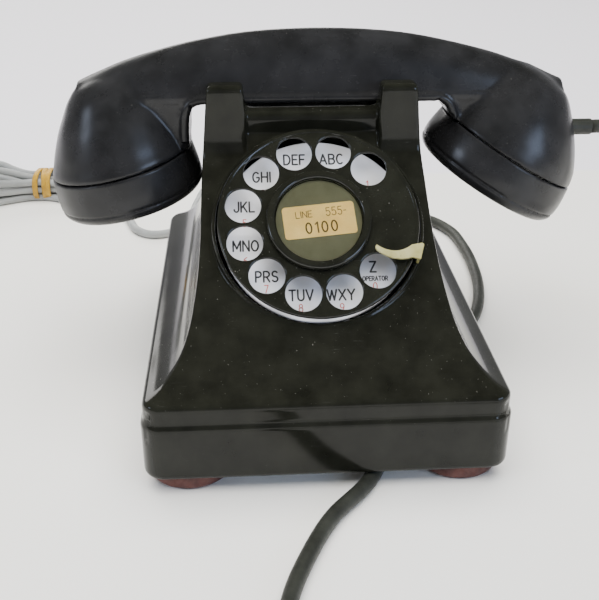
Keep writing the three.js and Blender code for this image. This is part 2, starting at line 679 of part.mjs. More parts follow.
// A cup's dome, leaning towards the middle of the handle from a certain height on.
function cupDome(cup, shoulder) {
  const dome = turned([[0, 0], [cup.radius, 0], ...shoulder, [0, shoulder.at(-1)[1] + 0.2]], 40);
  const corners = dome.attributes.position;
  for (let index = 0; index < corners.count; index++) {
    const rise = Math.max(0, corners.getZ(index) - cup.leanFrom);
    corners.setX(index, corners.getX(index) + cup.lean * rise);
  }
  return dome.applyMatrix4(cupAxes(cup));
}

const receiverShoulder = [
  [29.7, 2], [28.5, 5], [26.7, 9.9], [23.6, 16.8], [20.1, 22.8], [16.7, 28.1], [12.5, 32.3], [8.5, 34.5], [4, 35.8],
];
const transmitterShoulder = [
  [31.3, 3.2], [29.4, 8.6], [26.5, 14.5], [23.5, 19.3], [19.6, 24.5], [16, 28.7], [13.2, 31.2], [8, 33], [4, 33.6],
];

function buildHandset() {
  const receiver = { ...RECEIVER, neckX: RECEIVER.x - 1.2, neckFlare: 100.5, lean: 0.085, leanFrom: 0 };
  const transmitter = { ...TRANSMITTER, neckX: TRANSMITTER.x + 2.5, neckFlare: 111, lean: -0.2, leanFrom: 6 };
  const seamSlope = (cup) => -Math.tan(THREE.MathUtils.degToRad(cup.tilt));
  const seamAt = (cup, x) => cup.z + seamSlope(cup) * (x - cup.x);
  let body = solid(loft(ridge.map(handleSection)))
    .add(solid(cupDome(receiver, receiverShoulder)))
    .add(solid(cupDome(transmitter, transmitterShoulder)))
    .add(neck([
      [-49.6, seamAt(receiver, -49.6)], [-49.4, 105], [-48.9, 110.4], [-47.6, 113.7], [-45.6, 115], [-42, 115.4],
      [-38, HANDLE_BOTTOM], [-38, NECK_TOP], [-68, NECK_TOP], [-68, seamAt(receiver, -68)],
    ].reverse(), receiver))
    .add(neck([
      [44, HANDLE_BOTTOM], [50.5, 115.4], [53.6, 114.5], [55.6, 112.6], [57.2, seamAt(transmitter, 57.2)],
      [76, seamAt(transmitter, 76)], [76, NECK_TOP], [44, NECK_TOP],
    ], transmitter));
  const receiverWell = rod(25.5, -2, 7, 0, 0, 28).applyMatrix4(cupAxes(RECEIVER));
  const transmitterWell = rod(27, -2, 8, 0, 0, 28).applyMatrix4(cupAxes(TRANSMITTER));
  const cordHole = rod(3.7, 100, 125, 0, 0, 14).rotateY(Math.PI / 2).translate(0, 0, CORD_EXIT_HEIGHT);
  return cut(body, receiverWell, transmitterWell, cordHole);
}

place('handset_body', buildHandset(), handsetMoulding, handset);

// A screw-on cap: a rim with a thin groove low down, rounded into a shallow dished face with sound holes.
function buildCap(cup, holes) {
  const bottom = -cup.capHeight;
  const outer = cup.radius + cup.swell;
  const groove = bottom + 4.6;
  const inner = cup.radius - 3.4;
  const cap = turned([
    [0, bottom + 1.6], [outer - 9, bottom + 1], [outer - 5.6, bottom], [outer - 3, bottom + 0.5],
    [outer - 0.6, bottom + 3], [outer - 0.1, groove - 0.5], [outer - 0.8, groove], [outer, groove + 0.5],
    [outer, bottom + 10], [cup.radius + 0.2, -GAP], [inner, -GAP], [inner, bottom + 4], [0, bottom + 4],
  ], 36);
  const drills = holes.map(([x, y, radius]) => rod(radius, bottom - 3, bottom + 8, x, y, 6));
  return cut(solid(cap), ...drills);
}

function holeCircle(count, circleRadius, holeRadius) {
  return Array.from({ length: count }, (_, index) => {
    const angle = (2 * Math.PI * index) / count;
    return [circleRadius * Math.cos(angle), circleRadius * Math.sin(angle), holeRadius];
  });
}

for (const [name, cup, holes] of [
  ['receiver', RECEIVER, [[0, 0, 1.3], ...holeCircle(6, 6.5, 1.3)]],
  ['transmitter', TRANSMITTER, [[0, 0, 1.4], ...holeCircle(6, 6, 1.4), ...holeCircle(10, 12, 1.4)]],
]) {
  const frame = new THREE.Group();
  frame.position.set(cup.x, 0, cup.z);
  frame.rotation.y = THREE.MathUtils.degToRad(cup.tilt);
  handset.add(frame);
  place(`${name}_cap`, buildCap(cup, holes), handsetMoulding, frame);
  const radius = cup.radius - 6;
  const capsule = turned([[0, -12], [radius - 4, -12], [radius, -9], [radius, 2], [radius - 8, 5.5], [0, 5.5]], 20);
  place(`${name}_unit`, capsule, zincCan, frame);
}

// ---- Cords ----

// A round cord of one diameter along a smooth curve through the given points.
function cordTube(places, radius, steps, sides = 8) {
  const curve = new THREE.CatmullRomCurve3(places.map((p) => new THREE.Vector3(...p)), false, 'centripetal');
  const section = new THREE.Shape(Array.from({ length: sides }, (_, index) => {
    const angle = (2 * Math.PI * (index + 0.5)) / sides;
    return new THREE.Vector2(radius * Math.cos(angle), radius * Math.sin(angle));
  }));
  return new THREE.ExtrudeGeometry(section, { steps, extrudePath: curve, bevelEnabled: false });
}

// A tapered sleeve where a cord leaves a housing, along +Z from its foot.
function sleeve(footRadius, tipRadius, inside, outside) {
  return turned([[0, -inside], [footRadius, -inside], [footRadius, 1], [tipRadius, outside], [0, outside]], 14);
}

const SLEEVE_LENGTH = 14;
const cordFloor = HANDSET_CORD_RADIUS + 0.1;
const lineFloor = LINE_CORD_RADIUS + 0.1;
const [handsetExit, lineExit] = cordExits;

const bodySleeve = place('handset_cord_sleeve', sleeve(4.8, 3.6, 6, SLEEVE_LENGTH), blackRubber);
bodySleeve.position.set(handsetExit.x, SKIRT_HALF_DEPTH, handsetExit.z);
bodySleeve.rotation.x = -Math.PI / 2;
const lineSleeve = place('line_cord_sleeve', sleeve(4.8, 3.2, 6, SLEEVE_LENGTH), greyRubber);
lineSleeve.position.set(lineExit.x, SKIRT_HALF_DEPTH, lineExit.z);
lineSleeve.rotation.x = -Math.PI / 2;
const handsetSleeve = place('handset_end_sleeve', sleeve(3.4, 3.4, 6, 9), blackRubber);
handsetSleeve.position.set(112.5, CRADLE_Y, CORD_EXIT_HEIGHT);
handsetSleeve.rotation.y = Math.PI / 2;

const handsetCordRoute = [
  [handsetExit.x, SKIRT_HALF_DEPTH + SLEEVE_LENGTH + GAP, handsetExit.z],
  [handsetExit.x, 109, handsetExit.z], [24.4, 117, 13], [26, 126, 8], [30, 137, cordFloor + 0.6], [42, 152, cordFloor], [62, 162, cordFloor],
  [81, 156, cordFloor], [92, 138, cordFloor], [95, 114, cordFloor], [94.6, 88, cordFloor],
  [91, 60, cordFloor], [83, 34, cordFloor], [68, 10, cordFloor], [50, -18, cordFloor],
  [34, -48, cordFloor], [23, -74, cordFloor], [14, -92, cordFloor], [0, -109, cordFloor],
  [-10, -128, cordFloor], [-17, -147, cordFloor], [-19, -164, cordFloor], [-9, -180, cordFloor],
  [12, -187, cordFloor], [40, -186, cordFloor], [70, -180, cordFloor], [98, -169, cordFloor],
  [124, -151, cordFloor], [146, -126, cordFloor], [162, -96, cordFloor], [172, -62, cordFloor],
  [175, -30, cordFloor + 0.6], [174, -6, 10], [168, 12, 34], [158, 20, 66], [147, 22, 88],
  [135, 22, 98.2], [127, CRADLE_Y, CORD_EXIT_HEIGHT], [112.5 + 9 + GAP, CRADLE_Y, CORD_EXIT_HEIGHT],
];
place('handset_cord', cordTube(handsetCordRoute, HANDSET_CORD_RADIUS, 74), blackRubber);

const HANK = { x: -157, y: 216, halfLength: 52, halfWidth: 22, waist: 10.4, height: 15.9 };
const lineCordRoute = [
  [lineExit.x, SKIRT_HALF_DEPTH + SLEEVE_LENGTH + GAP, lineExit.z],
  [lineExit.x, 109, lineExit.z], [-25.6, 116, 13.4], [-24, 126, 8], [-20, 140, lineFloor + 0.5], [-13, 162, lineFloor],
  [-8, 188, lineFloor], [-10, 214, lineFloor], [-23, 233, lineFloor], [-41, 233, lineFloor],
  [-52.5, 217, lineFloor], [-57, 195, lineFloor], [-60, 173, lineFloor], [-63.5, 157, lineFloor],
  [-71, 145.5, lineFloor], [-82, 143, lineFloor], [-91, 150, lineFloor], [-96, 163, lineFloor],
  [-101, 177, lineFloor], [-108.5, 187, lineFloor], [-118, 191.6, lineFloor],
];
place('line_cord', cordTube(lineCordRoute, LINE_CORD_RADIUS, 48), greyRubber);

const hankShape = roundedRectangle(HANK.halfLength, HANK.halfWidth, HANK.halfWidth - 0.5);
const hankSolid = extrudeUp(hankShape, 0.1, HANK.height, 6).translate(HANK.x, HANK.y, 0);
const waist = [
  box(16, 20, 30, HANK.x, HANK.y + HANK.waist + 10, -5),
  box(16, 20, 30, HANK.x, HANK.y - HANK.waist - 10, -5),
  box(16, 40, 5, HANK.x, HANK.y, -3.6),
];
place('line_cord_hank', cut(solid(hankSolid), ...waist), greyRubber);

const bandHalf = HANK.waist + GAP;
const bandTop = HANK.height + GAP;
const bandOuter = box(12, 2 * bandHalf + 2, bandTop + 1, HANK.x, HANK.y, 0);
const bandInner = box(20, 2 * bandHalf, bandTop - 1, HANK.x, HANK.y, 1);
place('tie_band', cut(solid(bandOuter), bandInner), ochreBand);

const PLUG = { x: -228, y: 170, z: 9 };
const tailRoute = [
  [-210, 206, 15.2], [-216.5, 205, 12.2], [-222.5, 201.5, 9.9], [-226.5, 196, 9.1],
  [PLUG.x, 190, PLUG.z], [PLUG.x, PLUG.y + 14 + GAP, PLUG.z],
];
place('line_cord_tail', cordTube(tailRoute, LINE_CORD_RADIUS, 10), greyRubber);
const plug = join(
  extrudeUp(roundedRectangle(13, 9, 3), 0.1, 18).translate(PLUG.x, PLUG.y, 0),
  rod(4.2, 8, 14, 0, 0, 12).rotateX(-Math.PI / 2).translate(PLUG.x, PLUG.y, PLUG.z),
  ...[[-7, 5], [7, 5], [-7, 13], [7, 13]].map(([x, z]) =>
    rod(1.6, 8, 20, 0, 0, 8).rotateX(Math.PI / 2).translate(PLUG.x + x, PLUG.y, z)),
);
place('line_plug', plug, blackRubber);

export default telephone;
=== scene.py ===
"""Looks of a rotary desk telephone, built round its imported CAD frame.

Blender works in metres. The outlines below are in millimetres in the telephone's own axes: the body's middle
plane is x = 0, +Y runs to the back and +Z is up. at() and to_frame() turn them into the frame.
"""

import math

import bpy
import numpy as np
from mathutils import Matrix, Vector


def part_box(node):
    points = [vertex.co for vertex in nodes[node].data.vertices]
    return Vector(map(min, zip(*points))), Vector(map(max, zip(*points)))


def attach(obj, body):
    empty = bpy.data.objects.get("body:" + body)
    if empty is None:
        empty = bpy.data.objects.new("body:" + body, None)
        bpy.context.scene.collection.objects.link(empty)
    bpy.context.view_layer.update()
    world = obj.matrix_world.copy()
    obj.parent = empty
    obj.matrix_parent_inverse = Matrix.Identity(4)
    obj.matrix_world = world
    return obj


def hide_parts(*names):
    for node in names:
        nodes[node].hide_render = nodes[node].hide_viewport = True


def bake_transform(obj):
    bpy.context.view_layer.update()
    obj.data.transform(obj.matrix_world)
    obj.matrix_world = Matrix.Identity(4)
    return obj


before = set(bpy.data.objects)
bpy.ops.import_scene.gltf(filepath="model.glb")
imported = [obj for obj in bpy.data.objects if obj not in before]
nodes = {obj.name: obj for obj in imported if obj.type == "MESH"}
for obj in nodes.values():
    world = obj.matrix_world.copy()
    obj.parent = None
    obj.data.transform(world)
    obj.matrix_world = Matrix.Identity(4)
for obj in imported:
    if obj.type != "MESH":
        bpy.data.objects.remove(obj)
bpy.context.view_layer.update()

MM = 0.001
BODY_SHIFT_X = -2.0  # the body's middle plane in the frame
X, Y, Z = np.eye(3)


def at(x, y, z):
    return Vector(((x + BODY_SHIFT_X) * MM, y * MM, z * MM))


def to_frame(points):
    return (np.asarray(points, float) + [BODY_SHIFT_X, 0, 0]) * MM


def placed(position, degrees, axis):
    return Matrix.Translation(at(*position)) @ Matrix.Rotation(math.radians(degrees), 4, axis)


# ---- Driving dimensions ----

CRADLE_Y = 22
DIAL_CENTRE = (0, -36.8, 83.1)
DIAL_TILT = 45.6
WHEEL_RADIUS = 38.1
HOLE_CIRCLE = 29.1
FINGER_HOLE = 6.75
FIRST_HOLE_ANGLE = 46.3
PLATE_FACE = -9.1
RECEIVER = {"x": -78.6, "z": 89.6, "tilt": -13, "radius": 30.1, "cap": 18.5, "swell": 0.9, "neck": -79.8,
            "lean": 0.085, "lean_from": 0}
TRANSMITTER = {"x": 85.6, "z": 91.9, "tilt": 30.5, "radius": 32.1, "cap": 18, "swell": 1.4, "neck": 88.1,
               "lean": -0.2, "lean_from": 6}
HANDLE_HALF_WIDTH = 14.5
HANDLE_BOTTOM = 115.5
HANDSET_CORD_RADIUS = 2.9
LINE_CORD_RADIUS = 2.3

DIAL = placed(DIAL_CENTRE, DIAL_TILT, "X")


def cup_frame(cup):
    return placed((cup["x"], CRADLE_Y, cup["z"]), cup["tilt"], "Y")


# ---- Camera ----

camera = bpy.data.objects.new("camera", bpy.data.cameras.new("camera"))
bpy.context.scene.collection.objects.link(camera)
right = Vector((0.9980366, -0.0625951, 0.0021922))
up = Vector((0.0267992, 0.4584058, 0.8883389))
back = Vector((-0.0566106, -0.8865359, 0.4591833))
turn = Matrix((right, up, back)).transposed().to_4x4()
camera.matrix_world = Matrix.Translation((-0.02963, -0.35642, 0.21547)) @ turn
camera.data.lens = 55.38
camera.data.clip_start = 0.01
bpy.context.scene.camera = camera


# ---- Curves and meshes ----

SHARP_ANGLE = math.radians(32)


def smooth(points, step):
    """Points about `step` apart along a centripetal Catmull-Rom curve through the given points."""
    points = np.asarray(points, float)
    ends = np.vstack([2 * points[0] - points[1], points, 2 * points[-1] - points[-2]])
    curve = []
    for p0, p1, p2, p3 in zip(ends, ends[1:], ends[2:], ends[3:]):
        before, here, after = (math.sqrt(np.linalg.norm(b - a)) for a, b in ((p0, p1), (p1, p2), (p2, p3)))
        slope_in = here * ((p1 - p0) / before - (p2 - p0) / (before + here) + (p2 - p1) / here)
        slope_out = here * ((p2 - p1) / here - (p3 - p1) / (here + after) + (p3 - p2) / after)
        count = max(2, round(np.linalg.norm(p2 - p1) / step))
        for t in np.arange(count) / count:
            curve.append((2 * t**3 - 3 * t**2 + 1) * p1 + (t**3 - 2 * t**2 + t) * slope_in
                         + (3 * t**2 - 2 * t**3) * p2 + (t**3 - t**2) * slope_out)
    return np.array(curve + [points[-1]])


def even(points, count):
    """An even, uniform Catmull-Rom spline through the given points."""
    points = np.asarray(points, float)
    ends = np.vstack([points[0], points, points[-1]])
    where = np.linspace(0, len(points) - 1, count)
    first = np.minimum(where.astype(int), len(points) - 2)
    t = (where - first)[:, None]
    p0, p1, p2, p3 = (ends[first + k] for k in range(4))
    v0, v1 = (p2 - p0) / 2, (p3 - p1) / 2
    return (2 * p1 - 2 * p2 + v0 + v1) * t**3 + (-3 * p1 + 3 * p2 - 2 * v0 - v1) * t**2 + v0 * t + p1


def bend(start, control, end, count=8):
    """A quadratic curve from start to end."""
    t = np.linspace(0, 1, count)[:, None]
    start, control, end = (np.array(p, float) for p in (start, control, end))
    return (1 - t) ** 2 * start + 2 * t * (1 - t) * control + t**2 * end


def new_piece(name, vertices, faces, material, body, flat=False):
    mesh = bpy.data.meshes.new(name)
    mesh.from_pydata([tuple(v) for v in vertices], [], [tuple(f) for f in faces])
    mesh.update()
    mesh.polygons.foreach_set("use_smooth", [not flat] * len(mesh.polygons))
    piece = bpy.data.objects.new(name, mesh)
    bpy.context.scene.collection.objects.link(piece)
    piece.data.materials.append(material)
    if body:
        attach(piece, body)
    return piece


def sweep(line, section):
    """Vertices and faces of a section carried along a line without twist, with closed ends."""
    line = np.asarray(line, float)
    along = np.gradient(line, axis=0)
    along /= np.linalg.norm(along, axis=1)[:, None]
    side = np.cross(along[0], Z if abs(along[0][2]) < 0.9 else X)
    vertices = []
    for place, direction in zip(line, along):
        side = side - direction * (side @ direction)
        side /= np.linalg.norm(side)
        other = np.cross(direction, side)
        vertices += [place + a * side + b * other for a, b in section]
    count = len(section)
    faces = []
    for row in range(len(line) - 1):
        for k in range(count):
            here, after = row * count + k, row * count + (k + 1) % count
            faces.append((here, after, after + count, here + count))
    faces.append(tuple(reversed(range(count))))
    faces.append(tuple((len(line) - 1) * count + k for k in range(count)))
    return vertices, faces


def circle(radius, sides=18):
    angles = 2 * np.pi * (np.arange(sides) + 0.5) / sides
    return np.stack([radius * np.cos(angles), radius * np.sin(angles)], 1)


def turned(name, profile, matrix, material, body, sides=96):
    """A solid of revolution about the matrix's Z from [radius, height] pairs in mm that start and end on one point."""
    profile = [(max(r, 0.0), h) for r, h in profile]
    angles = 2 * np.pi * np.arange(sides) / sides
    vertices = [matrix @ Vector((r * math.cos(a) * MM, r * math.sin(a) * MM, h * MM))
                for a in angles for r, h in profile]
    rows = len(profile)
    faces = []
    for k in range(sides):
        near, far = k * rows, (k + 1) % sides * rows
        for i in range(rows - 1):
            faces.append((near + i, far + i, far + i + 1, near + i + 1))
        if profile[0] != profile[-1]:
            faces.append((near + rows - 1, far + rows - 1, far, near))
    piece = new_piece(name, vertices, faces, material, body)
    piece.data.set_sharp_from_angle(angle=SHARP_ANGLE)
    return piece


def soften(piece, width, segments=3):
    """Rounds the sharp edges of a piece, with its width in mm."""
    bevel = piece.modifiers.new("rounded_edges", "BEVEL")
    bevel.width = width * MM
    bevel.segments = segments
    bevel.limit_method = "ANGLE"
    bevel.angle_limit = SHARP_ANGLE
    bevel.harden_normals = True
    return piece


# ---- Materials ----

def shader(name, base=(0.5, 0.5, 0.5), roughness=0.5, metallic=0.0, ior=1.5, coat=0.0):
    material = bpy.data.materials.new(name)
    material.use_nodes = True
    principled = material.node_tree.nodes["Principled BSDF"]
    principled.inputs["Base Color"].default_value = (*base, 1)
    principled.inputs["Roughness"].default_value = roughness
    principled.inputs["Metallic"].default_value = metallic
    principled.inputs["IOR"].default_value = ior
    principled.inputs["Coat Weight"].default_value = coat
    principled.inputs["Coat Roughness"].default_value = 0.08
    return material, material.node_tree, principled


def link(tree, source, target):
    tree.links.new(source, target)


def noise(tree, scale, detail=4.0, stretch=(1, 1, 1), roughness=0.55):
    """A noise pattern fixed to the piece, with scale in waves per metre."""
    coordinates = tree.nodes.new("ShaderNodeTexCoord")
    mapping = tree.nodes.new("ShaderNodeMapping")
    mapping.inputs["Scale"].default_value = stretch
    pattern = tree.nodes.new("ShaderNodeTexNoise")
    pattern.inputs["Scale"].default_value = scale
    pattern.inputs["Detail"].default_value = detail
    pattern.inputs["Roughness"].default_value = roughness
    link(tree, coordinates.outputs["Object"], mapping.inputs["Vector"])
    link(tree, mapping.outputs["Vector"], pattern.inputs["Vector"])
    return pattern.outputs["Fac"]


def ramp(tree, source, stops):
    """A colour ramp through (position, colour) stops, where a colour is a number or three."""
    node = tree.nodes.new("ShaderNodeValToRGB")
    elements = node.color_ramp.elements
    while len(elements) < len(stops):
        elements.new(0.5)
    for element, (position, colour) in zip(elements, stops):
        element.position = position
        element.color = (*(colour if hasattr(colour, "__len__") else (colour,) * 3), 1)
    link(tree, source, node.inputs["Fac"])
    return node.outputs["Color"]


def blend_colours(tree, share, first, second):
    node = tree.nodes.new("ShaderNodeMix")
    node.data_type = "RGBA"
    for socket, value in ((node.inputs[0], share), (node.inputs[6], first), (node.inputs[7], second)):
        if isinstance(value, bpy.types.NodeSocket):
            link(tree, value, socket)
        elif hasattr(value, "__len__"):
            socket.default_value = (*value, 1)
        else:
            socket.default_value = value
    return node.outputs[2]


def calculate(tree, operation, first, second):
    node = tree.nodes.new("ShaderNodeMath")
    node.operation = operation
    node.use_clamp = operation in ("MULTIPLY", "ADD")
    for socket, value in zip(node.inputs, (first, second)):
        if isinstance(value, bpy.types.NodeSocket):
            link(tree, value, socket)
        else:
            socket.default_value = value
    return node.outputs[0]


def bump(tree, principled, layers):
    """Adds height patterns, each (source, strength, depth in mm)."""
    normal = None
    for source, strength, depth in layers:
        node = tree.nodes.new("ShaderNodeBump")
        node.inputs["Strength"].default_value = strength
        node.inputs["Distance"].default_value = depth * MM
        link(tree, source, node.inputs["Height"])
        if normal is not None:
            link(tree, normal, node.inputs["Normal"])
        normal = node.outputs["Normal"]
    link(tree, normal, principled.inputs["Normal"])


def upward(tree):
    """How far the surface faces up, from 0 to 1."""
    geometry = tree.nodes.new("ShaderNodeNewGeometry")
    parts = tree.nodes.new("ShaderNodeSeparateXYZ")
    link(tree, geometry.outputs["Normal"], parts.inputs[0])
    return calculate(tree, "MAXIMUM", parts.outputs["Z"], 0.0)


def glossy_black(name, base, roughness, dust=0.35, waviness=0.05, ior=1.5):
    """Moulded or enamelled black: uneven gloss, hairline scratches, faint mottling and specks of dust."""
    material, tree, principled = shader(name, base, roughness, ior=ior)
    low = tuple(0.7 * c for c in base)
    high = tuple(1.5 * c for c in base)
    mottle = ramp(tree, noise(tree, 90, 5), [(0.3, low), (0.7, high)])
    scratches = []
    for stretch in ((1.0, 0.04, 1.0), (0.05, 1.0, 0.6)):
        lines = noise(tree, 2600, 2, stretch)
        patches = ramp(tree, noise(tree, 60, 2, stretch=(1.3, 0.8, 1.0)), [(0.52, 0.0), (0.68, 1.0)])
        scratches.append(calculate(tree, "MULTIPLY", ramp(tree, lines, [(0.66, 0.0), (0.74, 1.0)]), patches))
    marks = calculate(tree, "ADD", *scratches)
    specks = ramp(tree, noise(tree, 1500, 1), [(0.765, 0.0), (0.79, 1.0)])
    lying = calculate(tree, "MULTIPLY", specks, upward(tree))
    lying = calculate(tree, "MULTIPLY", lying, dust)
    colour = blend_colours(tree, calculate(tree, "MULTIPLY", marks, 0.12), mottle, (0.09, 0.09, 0.085))
    colour = blend_colours(tree, lying, colour, (0.42, 0.4, 0.36))
    link(tree, colour, principled.inputs["Base Color"])
    smears = ramp(tree, noise(tree, 35, 6, roughness=0.65),
                  [(0.35, roughness * 0.75), (0.55, roughness), (0.75, roughness * 1.6)])
    rough = calculate(tree, "ADD", smears, calculate(tree, "MULTIPLY", marks, 0.25))
    rough = calculate(tree, "ADD", rough, lying)
    link(tree, rough, principled.inputs["Roughness"])
    bump(tree, principled, [(noise(tree, 70, 2), waviness, 0.5), (marks, 0.15, 0.02)])
    return material


def two_tone(name, low, high, scale, roughness, metallic=0.0, bump_depth=0.05, bump_scale=900, coat=0.0,
             stretch=(1, 1, 1), ior=1.5):
    """A finish whose colour, gloss and surface vary between two values."""
    material, tree, principled = shader(name, high, roughness, metallic, ior=ior, coat=coat)
    pattern = noise(tree, scale, 5, stretch)
    link(tree, ramp(tree, pattern, [(0.32, low), (0.68, high)]), principled.inputs["Base Color"])
    fine = noise(tree, bump_scale, 4, stretch)
    link(tree, ramp(tree, fine, [(0.3, roughness * 0.8), (0.7, min(1.0, roughness * 1.25))]),
         principled.inputs["Roughness"])
    bump(tree, principled, [(fine, 0.4, bump_depth), (pattern, 0.3, bump_depth)])
    return material


phenolic_black = glossy_black("phenolic_black", (0.0095, 0.0098, 0.0072), 0.11, ior=1.3)
handset_black = glossy_black("handset_black", (0.0135, 0.0135, 0.0145), 0.3, dust=0.25, ior=1.36)
enamel_black = glossy_black("enamel_black", (0.0095, 0.0098, 0.0072), 0.13, dust=0.5, waviness=0.03, ior=1.45)
enamel_white = two_tone("enamel_white", (0.80, 0.80, 0.83), (0.88, 0.88, 0.93), 120, 0.16,
                        bump_depth=0.01, bump_scale=200, coat=0.3)
steel = two_tone("steel", (0.36, 0.37, 0.39), (0.52, 0.53, 0.55), 150, 0.38, 1.0, 0.01, stretch=(1, 0.1, 1))
brass = two_tone("brass", (0.42, 0.33, 0.15), (0.62, 0.5, 0.25), 150, 0.36, 1.0, 0.01)
stop_metal = two_tone("stop_metal", (0.42, 0.38, 0.14), (0.62, 0.58, 0.30), 160, 0.32, 0.35, 0.004, 500)
bell_metal = two_tone("bell_metal", (0.34, 0.24, 0.12), (0.52, 0.38, 0.2), 120, 0.35, 1.0, 0.01)
leather = two_tone("leather", (0.045, 0.012, 0.010), (0.13, 0.045, 0.035), 160, 0.7, 0.0, 0.5, 600)
# The card's own colour is olive green. The faint streaks stretched along Y in its colour, gloss and bumps are a painted
# reflection.
card_green_painted_reflection = two_tone("card_green_painted_reflection", (0.085, 0.088, 0.05), (0.125, 0.125, 0.075), 60, 0.5, 0.0, 0.02,
                      stretch=(1, 0.25, 1))
paper_yellow = two_tone("paper_yellow", (0.90, 0.60, 0.19), (0.97, 0.71, 0.26), 110, 0.75, 0.0, 0.03, 1500)
winding_brown = two_tone("winding_brown", (0.08, 0.03, 0.012), (0.2, 0.09, 0.04), 80, 0.5, 0.0, 0.1, 1400,
                         stretch=(0.15, 0.15, 1))
laminate = two_tone("laminate", (0.09, 0.05, 0.025), (0.16, 0.09, 0.045), 90, 0.5, 0.0, 0.03)
zinc = two_tone("zinc", (0.42, 0.43, 0.42), (0.58, 0.59, 0.58), 130, 0.42, 1.0, 0.01)
rubber_black = two_tone("rubber_black", (0.017, 0.018, 0.015), (0.034, 0.036, 0.030), 90, 0.5, 0.0, 0.04, 700, ior=1.4)
jacket_grey = two_tone("jacket_grey", (0.25, 0.26, 0.26), (0.36, 0.37, 0.37), 70, 0.42, 0.0, 0.04, 500)
band_ochre = two_tone("band_ochre", (0.36, 0.19, 0.012), (0.56, 0.33, 0.03), 220, 0.5, 0.0, 0.1, 700)
ink_black = two_tone("ink_black", (0.02, 0.02, 0.022), (0.045, 0.045, 0.048), 400, 0.35, 0.0, 0.005)
ink_red = two_tone("ink_red", (0.55, 0.06, 0.05), (0.68, 0.12, 0.09), 400, 0.35, 0.0, 0.005)
ink_faded = two_tone("ink_faded", (0.10, 0.075, 0.03), (0.17, 0.12, 0.05), 500, 0.8, 0.0, 0.005)


def clear_sheet():
    """A thin clear sheet: mostly see-through, with a faint even reflection."""
    material, tree, principled = shader("clear_sheet", (1, 1, 1), 0.06, ior=1.2)
    glass = tree.nodes.new("ShaderNodeBsdfGlossy")
    glass.inputs["Roughness"].default_value = 0.06
    through = tree.nodes.new("ShaderNodeBsdfTransparent")
    link(tree, ramp(tree, noise(tree, 120, 4), [(0.3, (0.93, 0.93, 0.9)), (0.7, (0.98, 0.98, 0.96))]),
         through.inputs["Color"])
    mixed = tree.nodes.new("ShaderNodeMixShader")
    fresnel = tree.nodes.new("ShaderNodeFresnel")
    fresnel.inputs["IOR"].default_value = 1.3
    link(tree, fresnel.outputs[0], mixed.inputs[0])
    link(tree, through.outputs[0], mixed.inputs[1])
    link(tree, glass.outputs[0], mixed.inputs[2])
    tree.nodes.remove(principled)
    output = next(n for n in tree.nodes if n.type == "OUTPUT_MATERIAL")
    link(tree, mixed.outputs[0], output.inputs["Surface"])
    return material


window_clear = clear_sheet()


# ---- Cords ----

def tube(name, line, radius, material, body, sides=16):
    """A round tube along a line of points in mm."""
    vertices, faces = sweep(line, circle(radius, sides))
    return new_piece(name, to_frame(vertices), faces, material, body)


def length_of(line):
    return float(np.linalg.norm(np.diff(line, axis=0), axis=1).sum()) * MM


CORD_FLOOR = HANDSET_CORD_RADIUS + 0.1
LINE_FLOOR = LINE_CORD_RADIUS + 0.1

handset_route = [
    (24, 105.3, 15), (24, 109, 15), (24.4, 117, 13), (26, 126, 8), (30, 137, CORD_FLOOR + 0.6)]
handset_route += [(x, y, CORD_FLOOR) for x, y in (
    (42, 152), (62, 162), (81, 156), (92, 138), (95, 114), (94.6, 88), (91, 60), (83, 34), (68, 10),
    (50, -18), (34, -48), (23, -74), (14, -92), (0, -109), (-10, -128), (-17, -147), (-19, -164),
    (-9, -180), (12, -187), (40, -186), (70, -180), (98, -169), (124, -151), (146, -126), (162, -96),
    (172, -62))]
handset_route += [
    (175, -30, CORD_FLOOR + 0.6), (174, -6, 10), (168, 12, 34), (158, 20, 66), (147, 22, 88),
    (135, 22, 98.2), (127, CRADLE_Y, 99.8), (121.8, CRADLE_Y, 99.8)]

handset_line = smooth(handset_route, 3)
handset_cord = tube("cord_to_handset", handset_line, HANDSET_CORD_RADIUS, rubber_black, None)
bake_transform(handset_cord)
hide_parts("handset_cord")

HANK = {"x": -157, "y": 216}
OUTER_HALF_LOOP = [(0, 7.4), (10, 8.6), (20, 12.9), (29, 17.3), (38, 18.5), (45.6, 13.8)]
INNER_HALF_LOOP = [(0, 2.4), (10, 3.4), (19, 7.6), (27, 12.0), (34, 13.4), (40.6, 9.6)]
OUTER_TIP, INNER_TIP = 49.8, 44.6
LAYERS = [2.4, 7.3, 12.2]
SPRINGING = [0.0, 1.8, 4.0]  # how far each layer springs up on the left of the band


def fanned(x, y, height):
    """A point of the hank, in its own axes, with the layers spread apart to the left of the band."""
    away = min(max((-x - 10) / 26, 0.0), 1.0)
    share = away * away * (3 - 2 * away)
    rise = np.interp(height, LAYERS, SPRINGING) * share
    return (HANK["x"] + x, HANK["y"] + y + 0.35 * rise * (y > 0), height + rise)


def quarter(half_loop, side_x, side_y, height, outwards):
    """The strand of one loop between the waist and its tip, on one quarter of the hank."""
    points = [fanned(side_x * x, side_y * y, height) for x, y in half_loop]
    return points if outwards else points[::-1]


def lap(half_loop, tip, height):
    """From the waist's front round the left tip, along the back and round the right tip, short of the front."""
    left = [fanned(-tip, 0, height)]
    right_tip = [fanned(tip, 0, height)]
    return (quarter(half_loop, -1, -1, height, True) + left + quarter(half_loop, -1, 1, height, False)
            + quarter(half_loop[1:], 1, 1, height, True) + right_tip)


def crossing(first, first_height, second, second_height):
    """Front right quarter, where a strand moves from one loop's place to the next one's."""
    start = quarter(first, 1, -1, first_height, False)[:-1]
    end = quarter(second, 1, -1, second_height, False)[:-1]
    shares = np.linspace(0.0, 1.0, len(start) + 2)[1:-1]
    return [tuple((1 - s) * np.array(a) + s * np.array(b)) for a, b, s in zip(start, end, shares)]


